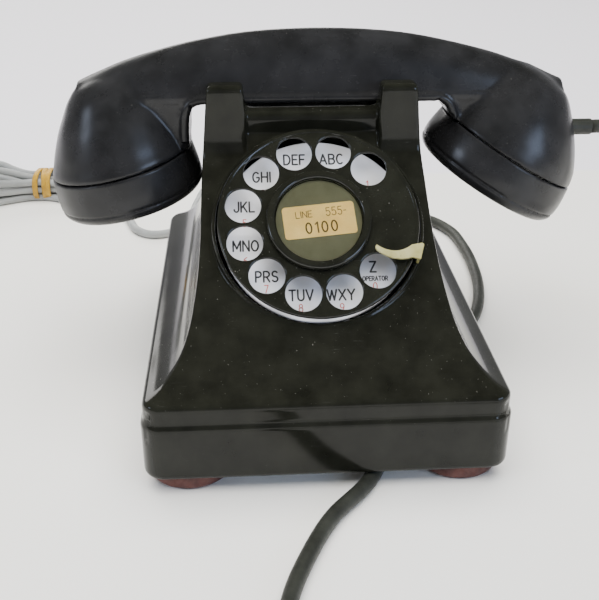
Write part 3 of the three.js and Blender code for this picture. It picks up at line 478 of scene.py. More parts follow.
line_route = [
    (-26, 105.3, 15), (-26, 109, 15), (-25.6, 116, 13.4), (-24, 126, 8), (-20, 140, LINE_FLOOR + 0.5)]
line_route += [(x, y, LINE_FLOOR) for x, y in (
    (-13, 162), (-8, 188), (-10, 214), (-23, 233), (-41, 233), (-52.5, 217), (-57, 195), (-60, 173),
    (-63.5, 157), (-71, 145.5), (-82, 143), (-91, 150), (-96, 163), (-101, 177), (-108.5, 187), (-118, 191.6),
    (-128, 193.6), (-138, 199.4), (-147, 205.6))]
loops = [("outer", 0), ("inner", 0), ("inner", 1), ("outer", 1), ("outer", 2), ("inner", 2)]
shapes = {"outer": (OUTER_HALF_LOOP, OUTER_TIP), "inner": (INNER_HALF_LOOP, INNER_TIP)}
for (kind, layer), (next_kind, next_layer) in zip(loops, loops[1:]):
    half_loop, tip = shapes[kind]
    line_route += lap(half_loop, tip, LAYERS[layer])
    line_route += crossing(half_loop, LAYERS[layer], shapes[next_kind][0], LAYERS[next_layer])
line_route += [(-157, 213.6, 12.4), (-166, 212.4, 14.6), (-176, 209.8, 18.6), (-187, 207.4, 21.8),
               (-197, 206.2, 22.6), (-206, 205.6, 20.8), (-213, 203.8, 16.2), (-218.5, 200.8, 12.2),
               (-223.4, 196.6, 9.8), (-226.6, 191.6, 9.1), (-228, 187.6, 9), (-228, 184.3, 9)]
line_line = smooth(line_route, 2.6)
line_cord = tube("cord_to_wall", line_line, LINE_CORD_RADIUS, jacket_grey, "root", 14)
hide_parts("line_cord", "line_cord_hank", "line_cord_tail")


def rubber_band():
    """Three turns of an elastic band round the hank's waist, lying a little askew."""
    corners = [(-7.2, 0.9), (7.2, 0.9), (10.9, 4.6), (10.9, 11.9),
               (7.2, 16.2), (-7.2, 16.2), (-10.9, 11.9), (-10.9, 4.6)]
    vertices, faces = [], []
    for turn, lean in ((-1.6, 1.2), (2.1, -0.9), (5.4, 0.4)):
        loop = [(HANK["x"] + turn + lean * y / 11, HANK["y"] + y, z) for y, z in corners]
        ring = smooth(loop[-2:] + loop + loop[:3], 1.2)
        start = np.argmin(np.linalg.norm(ring - loop[0], axis=1)[: len(ring) // 2])
        end = len(ring) // 2 + np.argmin(np.linalg.norm(ring - loop[0], axis=1)[len(ring) // 2:])
        ring = ring[start:end]
        count, base = len(ring), len(vertices)
        centre = np.array([HANK["x"], HANK["y"], 8.5])
        outward = ring - centre
        outward[:, 0] = 0
        outward /= np.linalg.norm(outward, axis=1)[:, None]
        section = [(-1.7, 0), (-1.3, 0.45), (1.3, 0.45), (1.7, 0), (1.3, -0.45), (-1.3, -0.45)]
        for place, out in zip(ring, outward):
            vertices += [place + a * X + b * out for a, b in section]
        for row in range(count):
            for k in range(6):
                after = (row + 1) % count
                faces.append([base + row * 6 + k, base + row * 6 + (k + 1) % 6,
                              base + after * 6 + (k + 1) % 6, base + after * 6 + k])
    band = new_piece("hank_band", to_frame(vertices), faces, band_ochre, "root")
    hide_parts("tie_band")
    return band


hank_band = rubber_band()
print("cord lengths", round(length_of(handset_line), 3), round(length_of(line_line), 3))


# ---- Shapes carved from the CAD solids ----

def both(a, b, radius):
    """Where two distance fields overlap, with the edge between them rounded."""
    return np.maximum(a, b) + np.maximum(radius - np.abs(a - b), 0) ** 2 / (4 * radius)


def either(a, b, radius):
    return -both(-a, -b, radius)


class Outline:
    """Signed distance in mm to a closed outline, negative inside, or plain distance to an open line."""

    def __init__(self, points, step=0.35, rounding=0.0, closed=True, margin=8.0):
        points = np.asarray(points, float)
        self.step, self.low = step, points.min(0) - margin
        counts = np.ceil((points.max(0) + margin - self.low) / step).astype(int) + 1
        u, v = np.meshgrid(*(self.low[k] + step * np.arange(counts[k]) for k in (0, 1)), indexing="ij")
        square, inside = np.full(u.shape, 1e9), np.zeros(u.shape, bool)
        after = np.roll(points, -1, 0) if closed else points[1:]
        for a, b in zip(points, after):
            edge = b - a
            if edge @ edge < 1e-12:
                continue
            t = np.clip(((u - a[0]) * edge[0] + (v - a[1]) * edge[1]) / (edge @ edge), 0, 1)
            square = np.minimum(square, (u - a[0] - t * edge[0]) ** 2 + (v - a[1] - t * edge[1]) ** 2)
            if closed and a[1] != b[1]:
                inside ^= ((a[1] > v) != (b[1] > v)) & (u < edge[0] * (v - a[1]) / edge[1] + a[0])
        self.grid = np.where(inside, -1, 1) * np.sqrt(square) if closed else np.sqrt(square)
        if rounding:
            reach = int(3 * rounding / step) + 1
            weights = np.exp(-0.5 * (step * np.arange(-reach, reach + 1) / rounding) ** 2)
            weights /= weights.sum()
            for axis in (0, 1):
                padding = [(reach, reach) if k == axis else (0, 0) for k in (0, 1)]
                padded = np.pad(self.grid, padding, "edge")
                size = self.grid.shape[axis]
                self.grid = sum(w * np.take(padded, np.arange(k, k + size), axis) for k, w in enumerate(weights))

    def __call__(self, u, v):
        rows, columns = self.grid.shape
        i = np.clip((u - self.low[0]) / self.step, 0, rows - 1.001)
        j = np.clip((v - self.low[1]) / self.step, 0, columns - 1.001)
        a, b = i.astype(int), j.astype(int)
        s, t = i - a, j - b
        g = self.grid
        return ((1 - s) * (1 - t) * g[a, b] + s * (1 - t) * g[a + 1, b]
                + (1 - s) * t * g[a, b + 1] + s * t * g[a + 1, b + 1])


def local(matrix, points):
    """Points in mm in the telephone's axes, as points in mm in a tilted frame."""
    inverse = np.array(matrix.inverted())
    return to_frame(points) @ inverse[:3, :3].T / MM + inverse[:3, 3] / MM


def carved(name, node, body, material, voxel, field, passes=4):
    """A fine skin over a CAD solid: its mesh cut into even voxels, then moved onto the field's zero surface."""
    rough = bpy.data.objects.new(name + "_rough", nodes[node].data.copy())
    bpy.context.scene.collection.objects.link(rough)
    remesh = rough.modifiers.new("voxels", "REMESH")
    remesh.mode = "VOXEL"
    remesh.voxel_size = voxel * MM
    mesh = bpy.data.meshes.new_from_object(rough.evaluated_get(bpy.context.evaluated_depsgraph_get()))
    bpy.data.objects.remove(rough)
    mesh.name = name
    count = len(mesh.vertices)
    flat = np.empty(count * 3)
    mesh.vertices.foreach_get("co", flat)
    points = flat.reshape(-1, 3) / MM - [BODY_SHIFT_X, 0, 0]
    reach = 0.02
    for _ in range(passes):
        value = field(points)
        slope = np.stack([(field(points + reach * axis) - value) / reach for axis in (X, Y, Z)], 1)
        steep = np.maximum((slope**2).sum(1), 0.3)
        move = -(value / steep)[:, None] * slope
        far = np.linalg.norm(move, axis=1)
        points += move * np.minimum(1, 0.8 * voxel / np.maximum(far, 1e-9))[:, None]
    mesh.vertices.foreach_set("co", to_frame(points).ravel())
    mesh.materials.clear()
    mesh.materials.append(material)
    mesh.polygons.foreach_set("use_smooth", [True] * len(mesh.polygons))
    mesh.update()
    piece = bpy.data.objects.new(name, mesh)
    bpy.context.scene.collection.objects.link(piece)
    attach(piece, body)
    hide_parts(node)
    return piece


# ---- Housing ----

SKIRT_HALF = (66.5, 91.0)
BAND_HALF = (65.5, 90.0)
BAND_TOP = 36.3
POST_TOP = 125.8
CRADLE_FLOOR = 114.8
SADDLE_TOP = 114.5
WALL = 3.0
CRADLE_ROOF = 107
DIAL_BORE_RADIUS = 39
COLLAR_RADIUS = 40.3

flank = even([
    (BAND_HALF[0] + 1, BAND_TOP - 0.4), (60.7, 38.2), (56.5, 41), (52.3, 45.4), (49.4, 51), (47.6, 57),
    (46, 65), (45, 74), (44.6, 83), (44.2, 92), (43.4, 101)], 70)
front_face = even([
    (-BAND_HALF[1] - 1, BAND_TOP - 0.4), (-81, 40), (-72, 45), (-64, 50.8), (-56, 57.3), (-47, 64.4),
    (-35, 73.1), (-25, 80.4), (-15, 88.2), (-8, 94.3), (-4.2, 99), (-3, 104)], 80)
back_face = even([
    (47, 104), (48.4, 99), (52, 91), (56.5, 81.5), (61.5, 71.5), (67.5, 61), (74.5, 50.5), (82, 42.2),
    (BAND_HALF[1] + 1, BAND_TOP - 0.4)], 70)


def front_outline():
    half = np.vstack([
        [(BAND_HALF[0] + 2, 18.4), (BAND_HALF[0] + 2, BAND_TOP - 0.8)], flank,
        bend((41.4, POST_TOP - 2.6), (41.2, POST_TOP), (38.6, POST_TOP)),
        bend((29.6, POST_TOP), (27, POST_TOP), (27, POST_TOP - 2.6)),
        bend((26.5, SADDLE_TOP + 3), (26.2, SADDLE_TOP), (23, SADDLE_TOP))])
    return np.vstack([half, (half * [-1, 1])[::-1]])


def side_outline():
    return np.vstack([
        back_face[::-1],
        bend((46.7, POST_TOP - 3), (46.6, POST_TOP), (43.6, POST_TOP)),
        bend((39.6, POST_TOP), (37.8, POST_TOP), (37.7, POST_TOP - 2)),
        bend((37, CRADLE_FLOOR + 2), (36.8, CRADLE_FLOOR), (34.8, CRADLE_FLOOR)),
        bend((9.2, CRADLE_FLOOR), (7.2, CRADLE_FLOOR), (7, CRADLE_FLOOR + 2)),
        bend((6.3, POST_TOP - 2), (6.2, POST_TOP), (4.4, POST_TOP)),
        bend((0.4, POST_TOP), (-2.6, POST_TOP), (-2.7, POST_TOP - 3)),
        front_face[::-1],
        [(-BAND_HALF[1] - 2, BAND_TOP - 0.8), (-BAND_HALF[1] - 2, 17.4), (BAND_HALF[1] + 2, 17.4),
         (BAND_HALF[1] + 2, BAND_TOP - 0.8)]])


def rounded_rectangle(x, y, half, radius):
    u, v = np.abs(x) - half[0] + radius, np.abs(y) - half[1] + radius
    return np.hypot(np.maximum(u, 0), np.maximum(v, 0)) + np.minimum(np.maximum(u, v), 0) - radius


def housing_field():
    across = Outline(front_outline(), 0.4, 0.35)
    along = Outline(side_outline(), 0.4, 0.35)
    recess = Outline([(-4.8, 98.2), (1, 105.6), *bend((1, SADDLE_TOP - 4), (1.2, SADDLE_TOP), (5, SADDLE_TOP)),
                      (5, POST_TOP + 4), (-40, POST_TOP + 4), (-40, 98.2)], 0.3)
    bosses = [(sx * 59.5, sy * 50) for sx in (-1, 1) for sy in (-1, 1)]

    def field(p):
        x, y, z = p.T
        wide, deep = across(np.abs(x), z), along(y, z)
        column = rounded_rectangle(x, y, BAND_HALF, 7)
        body = both(both(wide, deep, 1.6), column, 1.6)
        gap = np.maximum(np.minimum(recess(y, z), recess(2 * CRADLE_Y - y, z)), np.abs(x) - 26.4)
        body = both(body, -gap, 1.0)
        skirt = both(rounded_rectangle(x, y, SKIRT_HALF, 8), np.abs(z - 17.8) - 11.4, 2.2)
        body = either(body, skirt, 0.7)
        dial = local(DIAL, p)
        reach = np.hypot(dial[:, 0], dial[:, 1])
        collar = both(reach - COLLAR_RADIUS, np.abs(dial[:, 2] + 9.2) - 6, 1.2)
        body = either(body, collar, 1.0)
        inner = np.maximum.reduce([wide + WALL, deep + WALL, z - CRADLE_ROOF, WALL - gap])
        inner_skirt = np.maximum(rounded_rectangle(x, y, (63.5, 88), 5), z - 26.2)
        body = both(body, -either(inner, inner_skirt, 0.5), 0.5)
        body = both(body, -np.maximum(reach - DIAL_BORE_RADIUS, -30 - dial[:, 2]), 0.5)
        body = both(body, -np.maximum(np.hypot(np.abs(x) - 34, y - CRADLE_Y) - 3.5, 100 - z), 0.5)
        for cord_x in (24, -26):
            body = both(body, -np.maximum(np.hypot(x - cord_x, z - 15) - 5.2, 80 - y), 0.5)
        for bx, by in bosses:
            around = np.hypot(x - bx, y - by)
            post = np.maximum(around - 4.5, np.abs(z - 20.7) - 12.3)
            body = np.maximum(np.minimum(body, post), -np.where(z < 22, around - 1.9, 9))
        return body

    return field


housing = carved("housing_shell", "housing", "root", phenolic_black, 0.9, housing_field())


# ---- Handset ----

ridge = even([
    (-94.1, 122.2), (-76.3, 129.8), (-59.9, 134.8), (-43.7, 138.5), (-23.6, 141.5), (0.5, 142.6),
    (24.8, 141.8), (45.4, 139.3), (70.6, 133.6), (87.9, 128), (106.2, 120.7)], 200)
widths = even([(-94.1, 5.5), (-87, 9.5), (-76, 13), (-60, HANDLE_HALF_WIDTH), (0, HANDLE_HALF_WIDTH),
               (62, HANDLE_HALF_WIDTH), (84, 13.2), (97, 9.8), (106.2, 5)], 200)
undersides = even([(-94.1, 117.5), (-80, 116), (-60, HANDLE_BOTTOM), (0, HANDLE_BOTTOM), (70, HANDLE_BOTTOM),
                   (90, 116), (106.2, 116.8)], 100)
SHOULDERS = {
    "receiver": [(30.1, 0), (29.7, 2), (28.5, 5), (26.7, 9.9), (23.6, 16.8), (20.1, 22.8), (16.7, 28.1), (12.5, 32.3),
                 (8.5, 34.5), (4, 35.8)],
    "transmitter": [(32.1, 0), (31.3, 3.2), (29.4, 8.6), (26.5, 14.5), (23.5, 19.3), (19.6, 24.5), (16, 28.7),
                    (12.8, 31.2), (8, 33), (4, 33.6)],
}


def seam_height(cup, x):
    return cup["z"] - math.tan(math.radians(cup["tilt"])) * (x - cup["x"])


left_arch = [(-49.6, seam_height(RECEIVER, -49.6)), (-49.4, 105), (-48.9, 110.4), (-47.6, 113.7), (-45.6, 115),
             (-42, 115.4), (-38, HANDLE_BOTTOM)]
right_arch = [(44, HANDLE_BOTTOM), (50.5, 115.4), (53.6, 114.5), (55.6, 112.6), (57.2, seam_height(TRANSMITTER, 57.2))]


FLANK_HALF_WIDTH = 13.0  # the bead along the lower edges stands out past it
BEAD_CENTRE, BEAD_RADIUS = 12.75, 1.85
NECK_FLARE = 7.0  # how far the neck grows out of the cup's wall above the seam


def handset_field():
    width, height = FLANK_HALF_WIDTH, 30.0
    flank_line = bend((width, 4.2), (0.66 * HANDLE_HALF_WIDTH, 0.93 * height), (0, height), 16)
    half = np.vstack([[(width - 0.6, 0), (width, 0.8)], flank_line[:-1]])
    section = Outline(np.vstack([half, [(0, height)], (half * [-1, 1])[::-1]]), 0.25, 0.5)
    domes = {}
    for name, shoulder in SHOULDERS.items():
        line = even(shoulder, 40)
        domes[name] = Outline(np.vstack([[(-6, 0)], line, [(0, line[-1, 1] + 0.2), (-6, line[-1, 1] + 0.2)]]), 0.3, 0.5)
    webs = [
        (RECEIVER, Outline(left_arch + [(-38, 118.5), (-68, 118.5), (-68, seam_height(RECEIVER, -68))], 0.3, 0.3)),
        (TRANSMITTER, Outline(right_arch + [(76, seam_height(TRANSMITTER, 76)), (76, 118.5), (44, 118.5)], 0.3, 0.3))]
    under = smooth(left_arch + right_arch, 1.0)
    normal = np.gradient(under, axis=0)
    normal /= np.linalg.norm(normal, axis=1)[:, None]
    bead_line = Outline(under + 1.75 * np.stack([-normal[:, 1], normal[:, 0]], 1), 0.3, 0.0, closed=False)

    def flare(cup, x, z):
        rise = np.clip((z - cup["z"] + math.tan(math.radians(cup["tilt"])) * (x - cup["x"]) - 0.2) / 6, 0, 1)
        return NECK_FLARE * rise * rise * (3 - 2 * rise)

    def field(p):
        x, y, z = p[:, 0], p[:, 1] - CRADLE_Y, p[:, 2]
        aside = np.abs(y)
        top = np.interp(x, *ridge.T)
        bottom = np.interp(x, *undersides.T)
        narrow = np.interp(x, *widths.T) / HANDLE_HALF_WIDTH
        handle = section(aside / narrow, (z - bottom) * height / (top - bottom)) * narrow
        body = both(handle, np.abs(x - 6.05) - 100.1, 1.5)
        for cup, web in webs:
            neck = np.maximum(web(x, z), np.hypot(x - cup["neck"], y) - cup["radius"] - 0.3 - flare(cup, x, z))
            body = either(body, both(neck, aside - width * narrow, 1.2), 1.5)
        for name, cup in (("receiver", RECEIVER), ("transmitter", TRANSMITTER)):
            q = local(cup_frame(cup), p)
            lean = cup["lean"] * np.clip(q[:, 2] - cup["lean_from"], 0, 30)
            body = either(body, domes[name](np.hypot(q[:, 0] - lean, q[:, 1]), q[:, 2]), 1.6)
        bead = np.hypot(bead_line(x, z), aside - BEAD_CENTRE) - BEAD_RADIUS
        inside_cups = np.minimum.reduce([np.hypot(x - cup["neck"], y) - cup["radius"] - 0.4 - flare(cup, x, z)
                                         for cup in (RECEIVER, TRANSMITTER)] + [np.abs(x - 3) - 48.5])
        body = either(body, np.maximum(bead, inside_cups), 0.5)
        for cup, radius, depth in ((RECEIVER, 25.5, 7), (TRANSMITTER, 27, 8)):
            q = local(cup_frame(cup), p)
            well = np.maximum(np.hypot(q[:, 0], q[:, 1]) - radius, np.abs(q[:, 2] - depth / 2 + 1) - depth / 2 - 1)
            body = both(body, -well, 0.4)
            near = np.hypot(q[:, 0], q[:, 1]) - cup["radius"] - 6
            body = np.where(near < 0, both(body, -q[:, 2], 0.7), body)
        hole = np.maximum(np.hypot(y, z - 99.8) - 3.7, 100 - x)
        return both(body, -hole, 0.4)

    return field


handset = carved("handset_moulding", "handset_body", "handset", handset_black, 0.75,
                 handset_field(), 9)


def cap_field(cup, holes):
    bottom, outer = -cup["cap"], cup["radius"] + cup["swell"]
    groove, inner = bottom + 4.6, cup["radius"] - 3.4
    face = even([(0, bottom + 1.9), (outer - 15, bottom + 1.6), (outer - 9, bottom + 0.8), (outer - 5.4, bottom),
                 (outer - 2.6, bottom + 0.7), (outer - 0.7, bottom + 2.6), (outer - 0.1, groove - 0.5)], 40)
    profile = Outline(np.vstack([
        [(-6, bottom + 1.9)], face, [(outer - 0.9, groove - 0.2), (outer - 0.9, groove + 0.2), (outer, groove + 0.5)],
        even([(outer, groove + 0.6), (outer, bottom + 10), (cup["radius"] + 0.2, -0.3)], 20),
        [(inner, -0.3), (inner, bottom + 4), (-6, bottom + 4)]]), 0.2, 0.28)

    def field(p):
        q = local(cup_frame(cup), p)
        cap = profile(np.hypot(q[:, 0], q[:, 1]), q[:, 2])
        for hx, hy, radius in holes:
            cap = both(cap, radius - np.hypot(q[:, 0] - hx, q[:, 1] - hy), 0.5)
        return cap

    return field


def hole_circle(count, circle_radius, hole_radius):
    angles = 2 * np.pi * np.arange(count) / count
    return [(circle_radius * math.cos(a), circle_radius * math.sin(a), hole_radius) for a in angles]


receiver_cap = carved("receiver_rim", "receiver_cap", "handset", handset_black, 0.55,
                      cap_field(RECEIVER, [(0, 0, 1.3), *hole_circle(6, 6.5, 1.3)]))
transmitter_cap = carved("transmitter_rim", "transmitter_cap", "handset", handset_black, 0.55,
                         cap_field(TRANSMITTER, [(0, 0, 1.4), *hole_circle(6, 6, 1.4), *hole_circle(10, 12, 1.4)]))


# ---- Dial ----

hole_angles = [math.radians(FIRST_HOLE_ANGLE + 30 * k) for k in range(10)]
hole_places = [(HOLE_CIRCLE * math.cos(a), HOLE_CIRCLE * math.sin(a)) for a in hole_angles]


def wheel_field():
    profile = Outline([
        (3.9, -1.6), (37.4, -1.6), (37.9, -1.3), (WHEEL_RADIUS, -0.8), (37.95, -0.2), (37.6, 0.15), (37.2, 0.3),
        (36.8, 0.2), (36.5, -0.15), (36.2, -0.2), (36.0, 0), (3.9, 0)], 0.1, 0.1, margin=4)

    def field(p):
        q = local(DIAL, p)
        x, y, z = q.T
        wheel = profile(np.hypot(x, y), z)
        nearest = np.minimum.reduce([np.hypot(x - hx, y - hy) for hx, hy in hole_places])
        return both(wheel, FINGER_HOLE - nearest, 1.0)

    return field


wheel = carved("finger_disc", "finger_wheel", "dial", enamel_black, 0.32, wheel_field())

ring_profile = np.vstack([
    [(16.6, 0.3), (19.9, 0.3)],
    bend((19.9, 1.0), (19.8, 2.7), (18.3, 2.7), 7), bend((17.6, 2.7), (16.6, 2.5), (16.6, 1.6), 5)])
card_ring = turned("card_bezel", [tuple(p) for p in ring_profile], DIAL, enamel_black, "dial")
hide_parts("card_ring")
card = turned("card_disc", [(0, 0.3), (16.2, 0.3), (16.2, 0.6), (0, 0.6)], DIAL, card_green_painted_reflection, "dial")
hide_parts("number_card")
window = turned("card_glazing", [(0, 1.45), (16.3, 1.45), (16.3, 1.75), (0, 1.75)], DIAL, window_clear, "dial")
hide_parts("card_window")
plate = turned("enamel_plate", [(9, PLATE_FACE - 1), (37.1, PLATE_FACE - 1), (37.1, PLATE_FACE - 0.35),
                                (36.75, PLATE_FACE), (9, PLATE_FACE)], DIAL, enamel_white, "root")
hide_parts("number_plate")


def label_card():
    """A paper slip with rounded corners, lying at a slight slant on the card."""
    half, radius = (13.6, 6.45), 1.3
    outline = []
    for sx, sy, start in ((1, -1, -90), (1, 1, 0), (-1, 1, 90), (-1, -1, 180)):
        for k in range(7):
            a = math.radians(start + 15 * k)
            outline.append((sx * (half[0] - radius) + radius * math.cos(a),
                            sy * (half[1] - radius) + radius * math.sin(a)))
    tilt = Matrix.Translation(Vector((0.2, -0.1, 0)) * MM) @ Matrix.Rotation(math.radians(5.3), 4, "Z")
    count = len(outline)
    vertices = [DIAL @ tilt @ Vector((x * MM, y * MM, h * MM)) for h in (0.62, 0.78) for x, y in outline]
    faces = [tuple(reversed(range(count))), tuple(range(count, 2 * count))]
    faces += [(k, (k + 1) % count, count + (k + 1) % count, count + k) for k in range(count)]
    slip = new_piece("number_slip", vertices, faces, paper_yellow, "dial", flat=True)
    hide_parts("number_label")
    return tilt


label_frame = label_card()


# Stroke letters on a grid 4 wide and 6 high: lines of points, where a fourth-circle is bent through its middle point.
def arc(cx, cy, rx, ry, start, end, count=9):
    return [(cx + rx * math.cos(math.radians(a)), cy + ry * math.sin(math.radians(a)))
            for a in np.linspace(start, end, count)]


GLYPHS = {
    "A": (4.4, [[(0, 0), (2.2, 6), (4.4, 0)], [(0.75, 2), (3.65, 2)]]),
    "B": (3.6, [[(0, 0), (0, 6), (1.9, 6)] + arc(1.9, 4.6, 1.5, 1.4, 90, -90) + [(0, 3.2)],
                [(1.9, 3.2)] + arc(1.9, 1.6, 1.7, 1.6, 90, -90) + [(0, 0)]]),
    "C": (3.9, [arc(2.1, 3, 2.1, 3, 52, 308, 17)]),
    "D": (3.9, [[(0, 0), (0, 6), (1.4, 6)] + arc(1.4, 3, 2.5, 3, 90, -90, 13) + [(0, 0)]]),
    "E": (3.2, [[(3.2, 6), (0, 6), (0, 0), (3.2, 0)], [(0, 3.1), (2.7, 3.1)]]),
    "F": (3.1, [[(3.1, 6), (0, 6), (0, 0)], [(0, 3.1), (2.6, 3.1)]]),
    "G": (4.0, [arc(2.1, 3, 2.1, 3, 50, 345, 19)[:-1] + [(4.0, 1.6), (4.0, 2.8), (2.5, 2.8)]]),
    "H": (3.8, [[(0, 0), (0, 6)], [(3.8, 0), (3.8, 6)], [(0, 3.1), (3.8, 3.1)]]),
    "I": (0.2, [[(0.1, 0), (0.1, 6)]]),
    "J": (2.9, [[(2.9, 6), (2.9, 1.6)] + arc(1.5, 1.5, 1.4, 1.5, 0, -180, 11)]),
    "K": (3.7, [[(0, 0), (0, 6)], [(3.5, 6), (0, 2.1)], [(1.3, 3.5), (3.7, 0)]]),
    "L": (3.1, [[(0, 6), (0, 0), (3.1, 0)]]),
    "M": (4.6, [[(0, 0), (0, 6), (2.3, 1.4), (4.6, 6), (4.6, 0)]]),
    "N": (3.8, [[(0, 0), (0, 6), (3.8, 0), (3.8, 6)]]),
    "O": (4.2, [arc(2.1, 3, 2.1, 3, 0, 360, 25)]),
    "P": (3.4, [[(0, 0), (0, 6), (1.7, 6)] + arc(1.7, 4.4, 1.7, 1.6, 90, -90) + [(0, 2.8)]]),
    "R": (3.6, [[(0, 0), (0, 6), (1.8, 6)] + arc(1.8, 4.4, 1.7, 1.6, 90, -90) + [(0, 2.8)], [(1.8, 2.8), (3.6, 0)]]),
    "S": (3.5, [arc(1.8, 4.5, 1.6, 1.5, 35, 240, 11) + arc(1.8, 1.5, 1.7, 1.5, 60, -150, 12)]),
    "T": (3.8, [[(0, 6), (3.8, 6)], [(1.9, 6), (1.9, 0)]]),
    "U": (3.7, [[(0, 6), (0, 1.9)] + arc(1.85, 1.85, 1.85, 1.85, 180, 360, 11) + [(3.7, 6)]]),
    "V": (4.2, [[(0, 6), (2.1, 0), (4.2, 6)]]),
    "W": (5.8, [[(0, 6), (1.5, 0), (2.9, 5.6), (4.3, 0), (5.8, 6)]]),
    "X": (4.0, [[(0, 0), (4, 6)], [(0, 6), (4, 0)]]),
    "Y": (4.2, [[(0, 6), (2.1, 2.9), (4.2, 6)], [(2.1, 2.9), (2.1, 0)]]),
    "Z": (3.7, [[(0, 6), (3.7, 6), (0, 0), (3.7, 0)]]),
    "-": (1.8, [[(0, 2.8), (1.8, 2.8)]]),
    " ": (1.6, []),
    "0": (3.4, [arc(1.7, 3, 1.7, 3, 0, 360, 21)]),
    "1": (1.4, [[(0, 4.9), (1.4, 6), (1.4, 0)]]),
    "2": (3.2, [arc(1.6, 4.4, 1.5, 1.6, 165, -30, 10) + [(0, 0), (3.3, 0)]]),
    "3": (3.3, [arc(1.5, 4.6, 1.4, 1.4, 150, -80, 10) + arc(1.5, 1.65, 1.7, 1.65, 80, -150, 12)]),
    "4": (3.5, [[(2.6, 0), (2.6, 6), (0, 1.7), (3.5, 1.7)]]),
    "5": (3.3, [[(3, 6), (0.5, 6), (0.3, 3.4)] + arc(1.5, 1.95, 1.7, 1.95, 120, -150, 12)]),
    "6": (3.4, [[(2.9, 6)] + arc(3.0, 2.2, 2.95, 3.6, 100, 170, 6) + arc(1.7, 1.8, 1.65, 1.8, 180, -180, 17)]),
    "7": (3.3, [[(0, 6), (3.3, 6), (1.1, 0)]]),
    "8": (3.4, [arc(1.7, 4.55, 1.4, 1.45, -90, 270, 17), arc(1.7, 1.6, 1.7, 1.6, 90, 450, 17)]),
    "9": (3.4, [arc(1.7, 4.2, 1.65, 1.8, 0, 360, 17) + arc(0.4, 3.8, 2.95, 3.6, 10, -80, 6)]),
}


def lettering(name, text, size, centre, height, matrix, material, body, weight=0.68, narrow=0.88, gap=1.4):
    """Printed text as thin strokes, `size` mm high and `weight` mm thick, centred on a point of a tilted frame."""
    unit = size / 6
    lines, pen = [], 0.0
    for letter in text:
        width, strokes = GLYPHS[letter]
        lines += [[(pen + x * narrow, y) for x, y in stroke] for stroke in strokes]
        pen += width * narrow + gap
    shift_x, shift_y = (pen - gap) / 2, 3.0
    vertices, faces = [], []

    def face(points):
        faces.append(tuple(range(len(vertices), len(vertices) + len(points))))
        for x, y in points:
            vertices.append(matrix @ Vector((centre[0] + x, centre[1] + y, height)))

    for line in lines:
        line = [np.array([(x - shift_x) * unit, (y - shift_y) * unit]) for x, y in line]
        for a, b in zip(line, line[1:]):
            along = (b - a) / max(np.linalg.norm(b - a), 1e-9)
            side = np.array([-along[1], along[0]]) * weight / 2
            face([a - side, b - side, b + side, a + side])
        for dot in line:
            face([dot + weight / 2 * np.array([math.cos(t), math.sin(t)]) for t in np.arange(10) * math.pi / 5])
    return new_piece(name, vertices, faces, material, body, flat=True)


def in_mm(matrix):
    """The same placement for points given in millimetres."""
    return matrix @ Matrix.Scale(MM, 4)


PRINT = PLATE_FACE + 0.03
dial_print = {
    "ABC": (6.85, 29.6), "DEF": (-7.75, 29.6), "GHI": (-20.75, 22.4), "JKL": (-27.85, 10.0), "MNO": (-27.65, -6.0),
    "PRS": (-20.05, -18.5), "TUV": (-7.35, -26.2), "WXY": (7.65, -26.4), "Z": (20.4, -15.6),
}
digit_places = {
    "1": (20.4, 18.5), "2": (7.0, 22.9), "3": (-7.7, 22.9), "4": (-20.7, 15.7), "5": (-27.8, 3.3), "6": (-27.8, -12.1),
    "7": (-20.3, -23.4), "8": (-7.65, -31.2), "9": (7.85, -31.3), "0": (20.85, -23.4),
}
for word, place in dial_print.items():
    lettering("letters_" + word, word, 4.1, place, PRINT, in_mm(DIAL), ink_black, "root")
lettering("word_operator", "OPERATOR", 1.7, (21.0, -20.3), PRINT, in_mm(DIAL), ink_black, "root",
          weight=0.4, narrow=0.8, gap=1.3)
for digit, place in digit_places.items():
    lettering("digit_" + digit, digit, 2.9, place, PRINT, in_mm(DIAL), ink_red, "root", weight=0.36)

LABEL = in_mm(DIAL @ label_frame)
LABEL_PRINT = 0.81
for part, text, size, centre, weight, narrow, gap in (
        ("exchange", "LINE", 2.5, (-5.6, 2.9), 0.3, 1.0, 1.4), ("prefix", "555-", 3.2, (6.6, 3.1), 0.32, 0.88, 1.3),
        ("number", "0100", 4.1, (0.4, -2.7), 0.58, 0.88, 2.3)):
    lettering("label_" + part, text, size, centre, LABEL_PRINT, LABEL, ink_faded, "dial",
              weight, narrow, gap)

# ---- Feet ----

for side_y in ("front", "back"):
    for side_x in ("left", "right"):
        node = f"foot_{side_y}_{side_x}"
        low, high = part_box(node)
        centre = Matrix.Translation(((low.x + high.x) / 2, (low.y + high.y) / 2, low.z))
        profile = [(1.9, 3.4), (4, 3.4), (4, 0.5), (4.6, 0)]
        profile += [tuple(p) for p in bend((13, 0), (15.9, 0), (16, 2.6), 6)]
        profile += [(16, 4.4), (15.9, 6.2), (1.9, 6.2)]
        foot = turned(f"pad_{side_y}_{side_x}", profile, centre, leather, "root", 72)
        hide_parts(node)

# ---- CAD nodes that keep their own shape ----

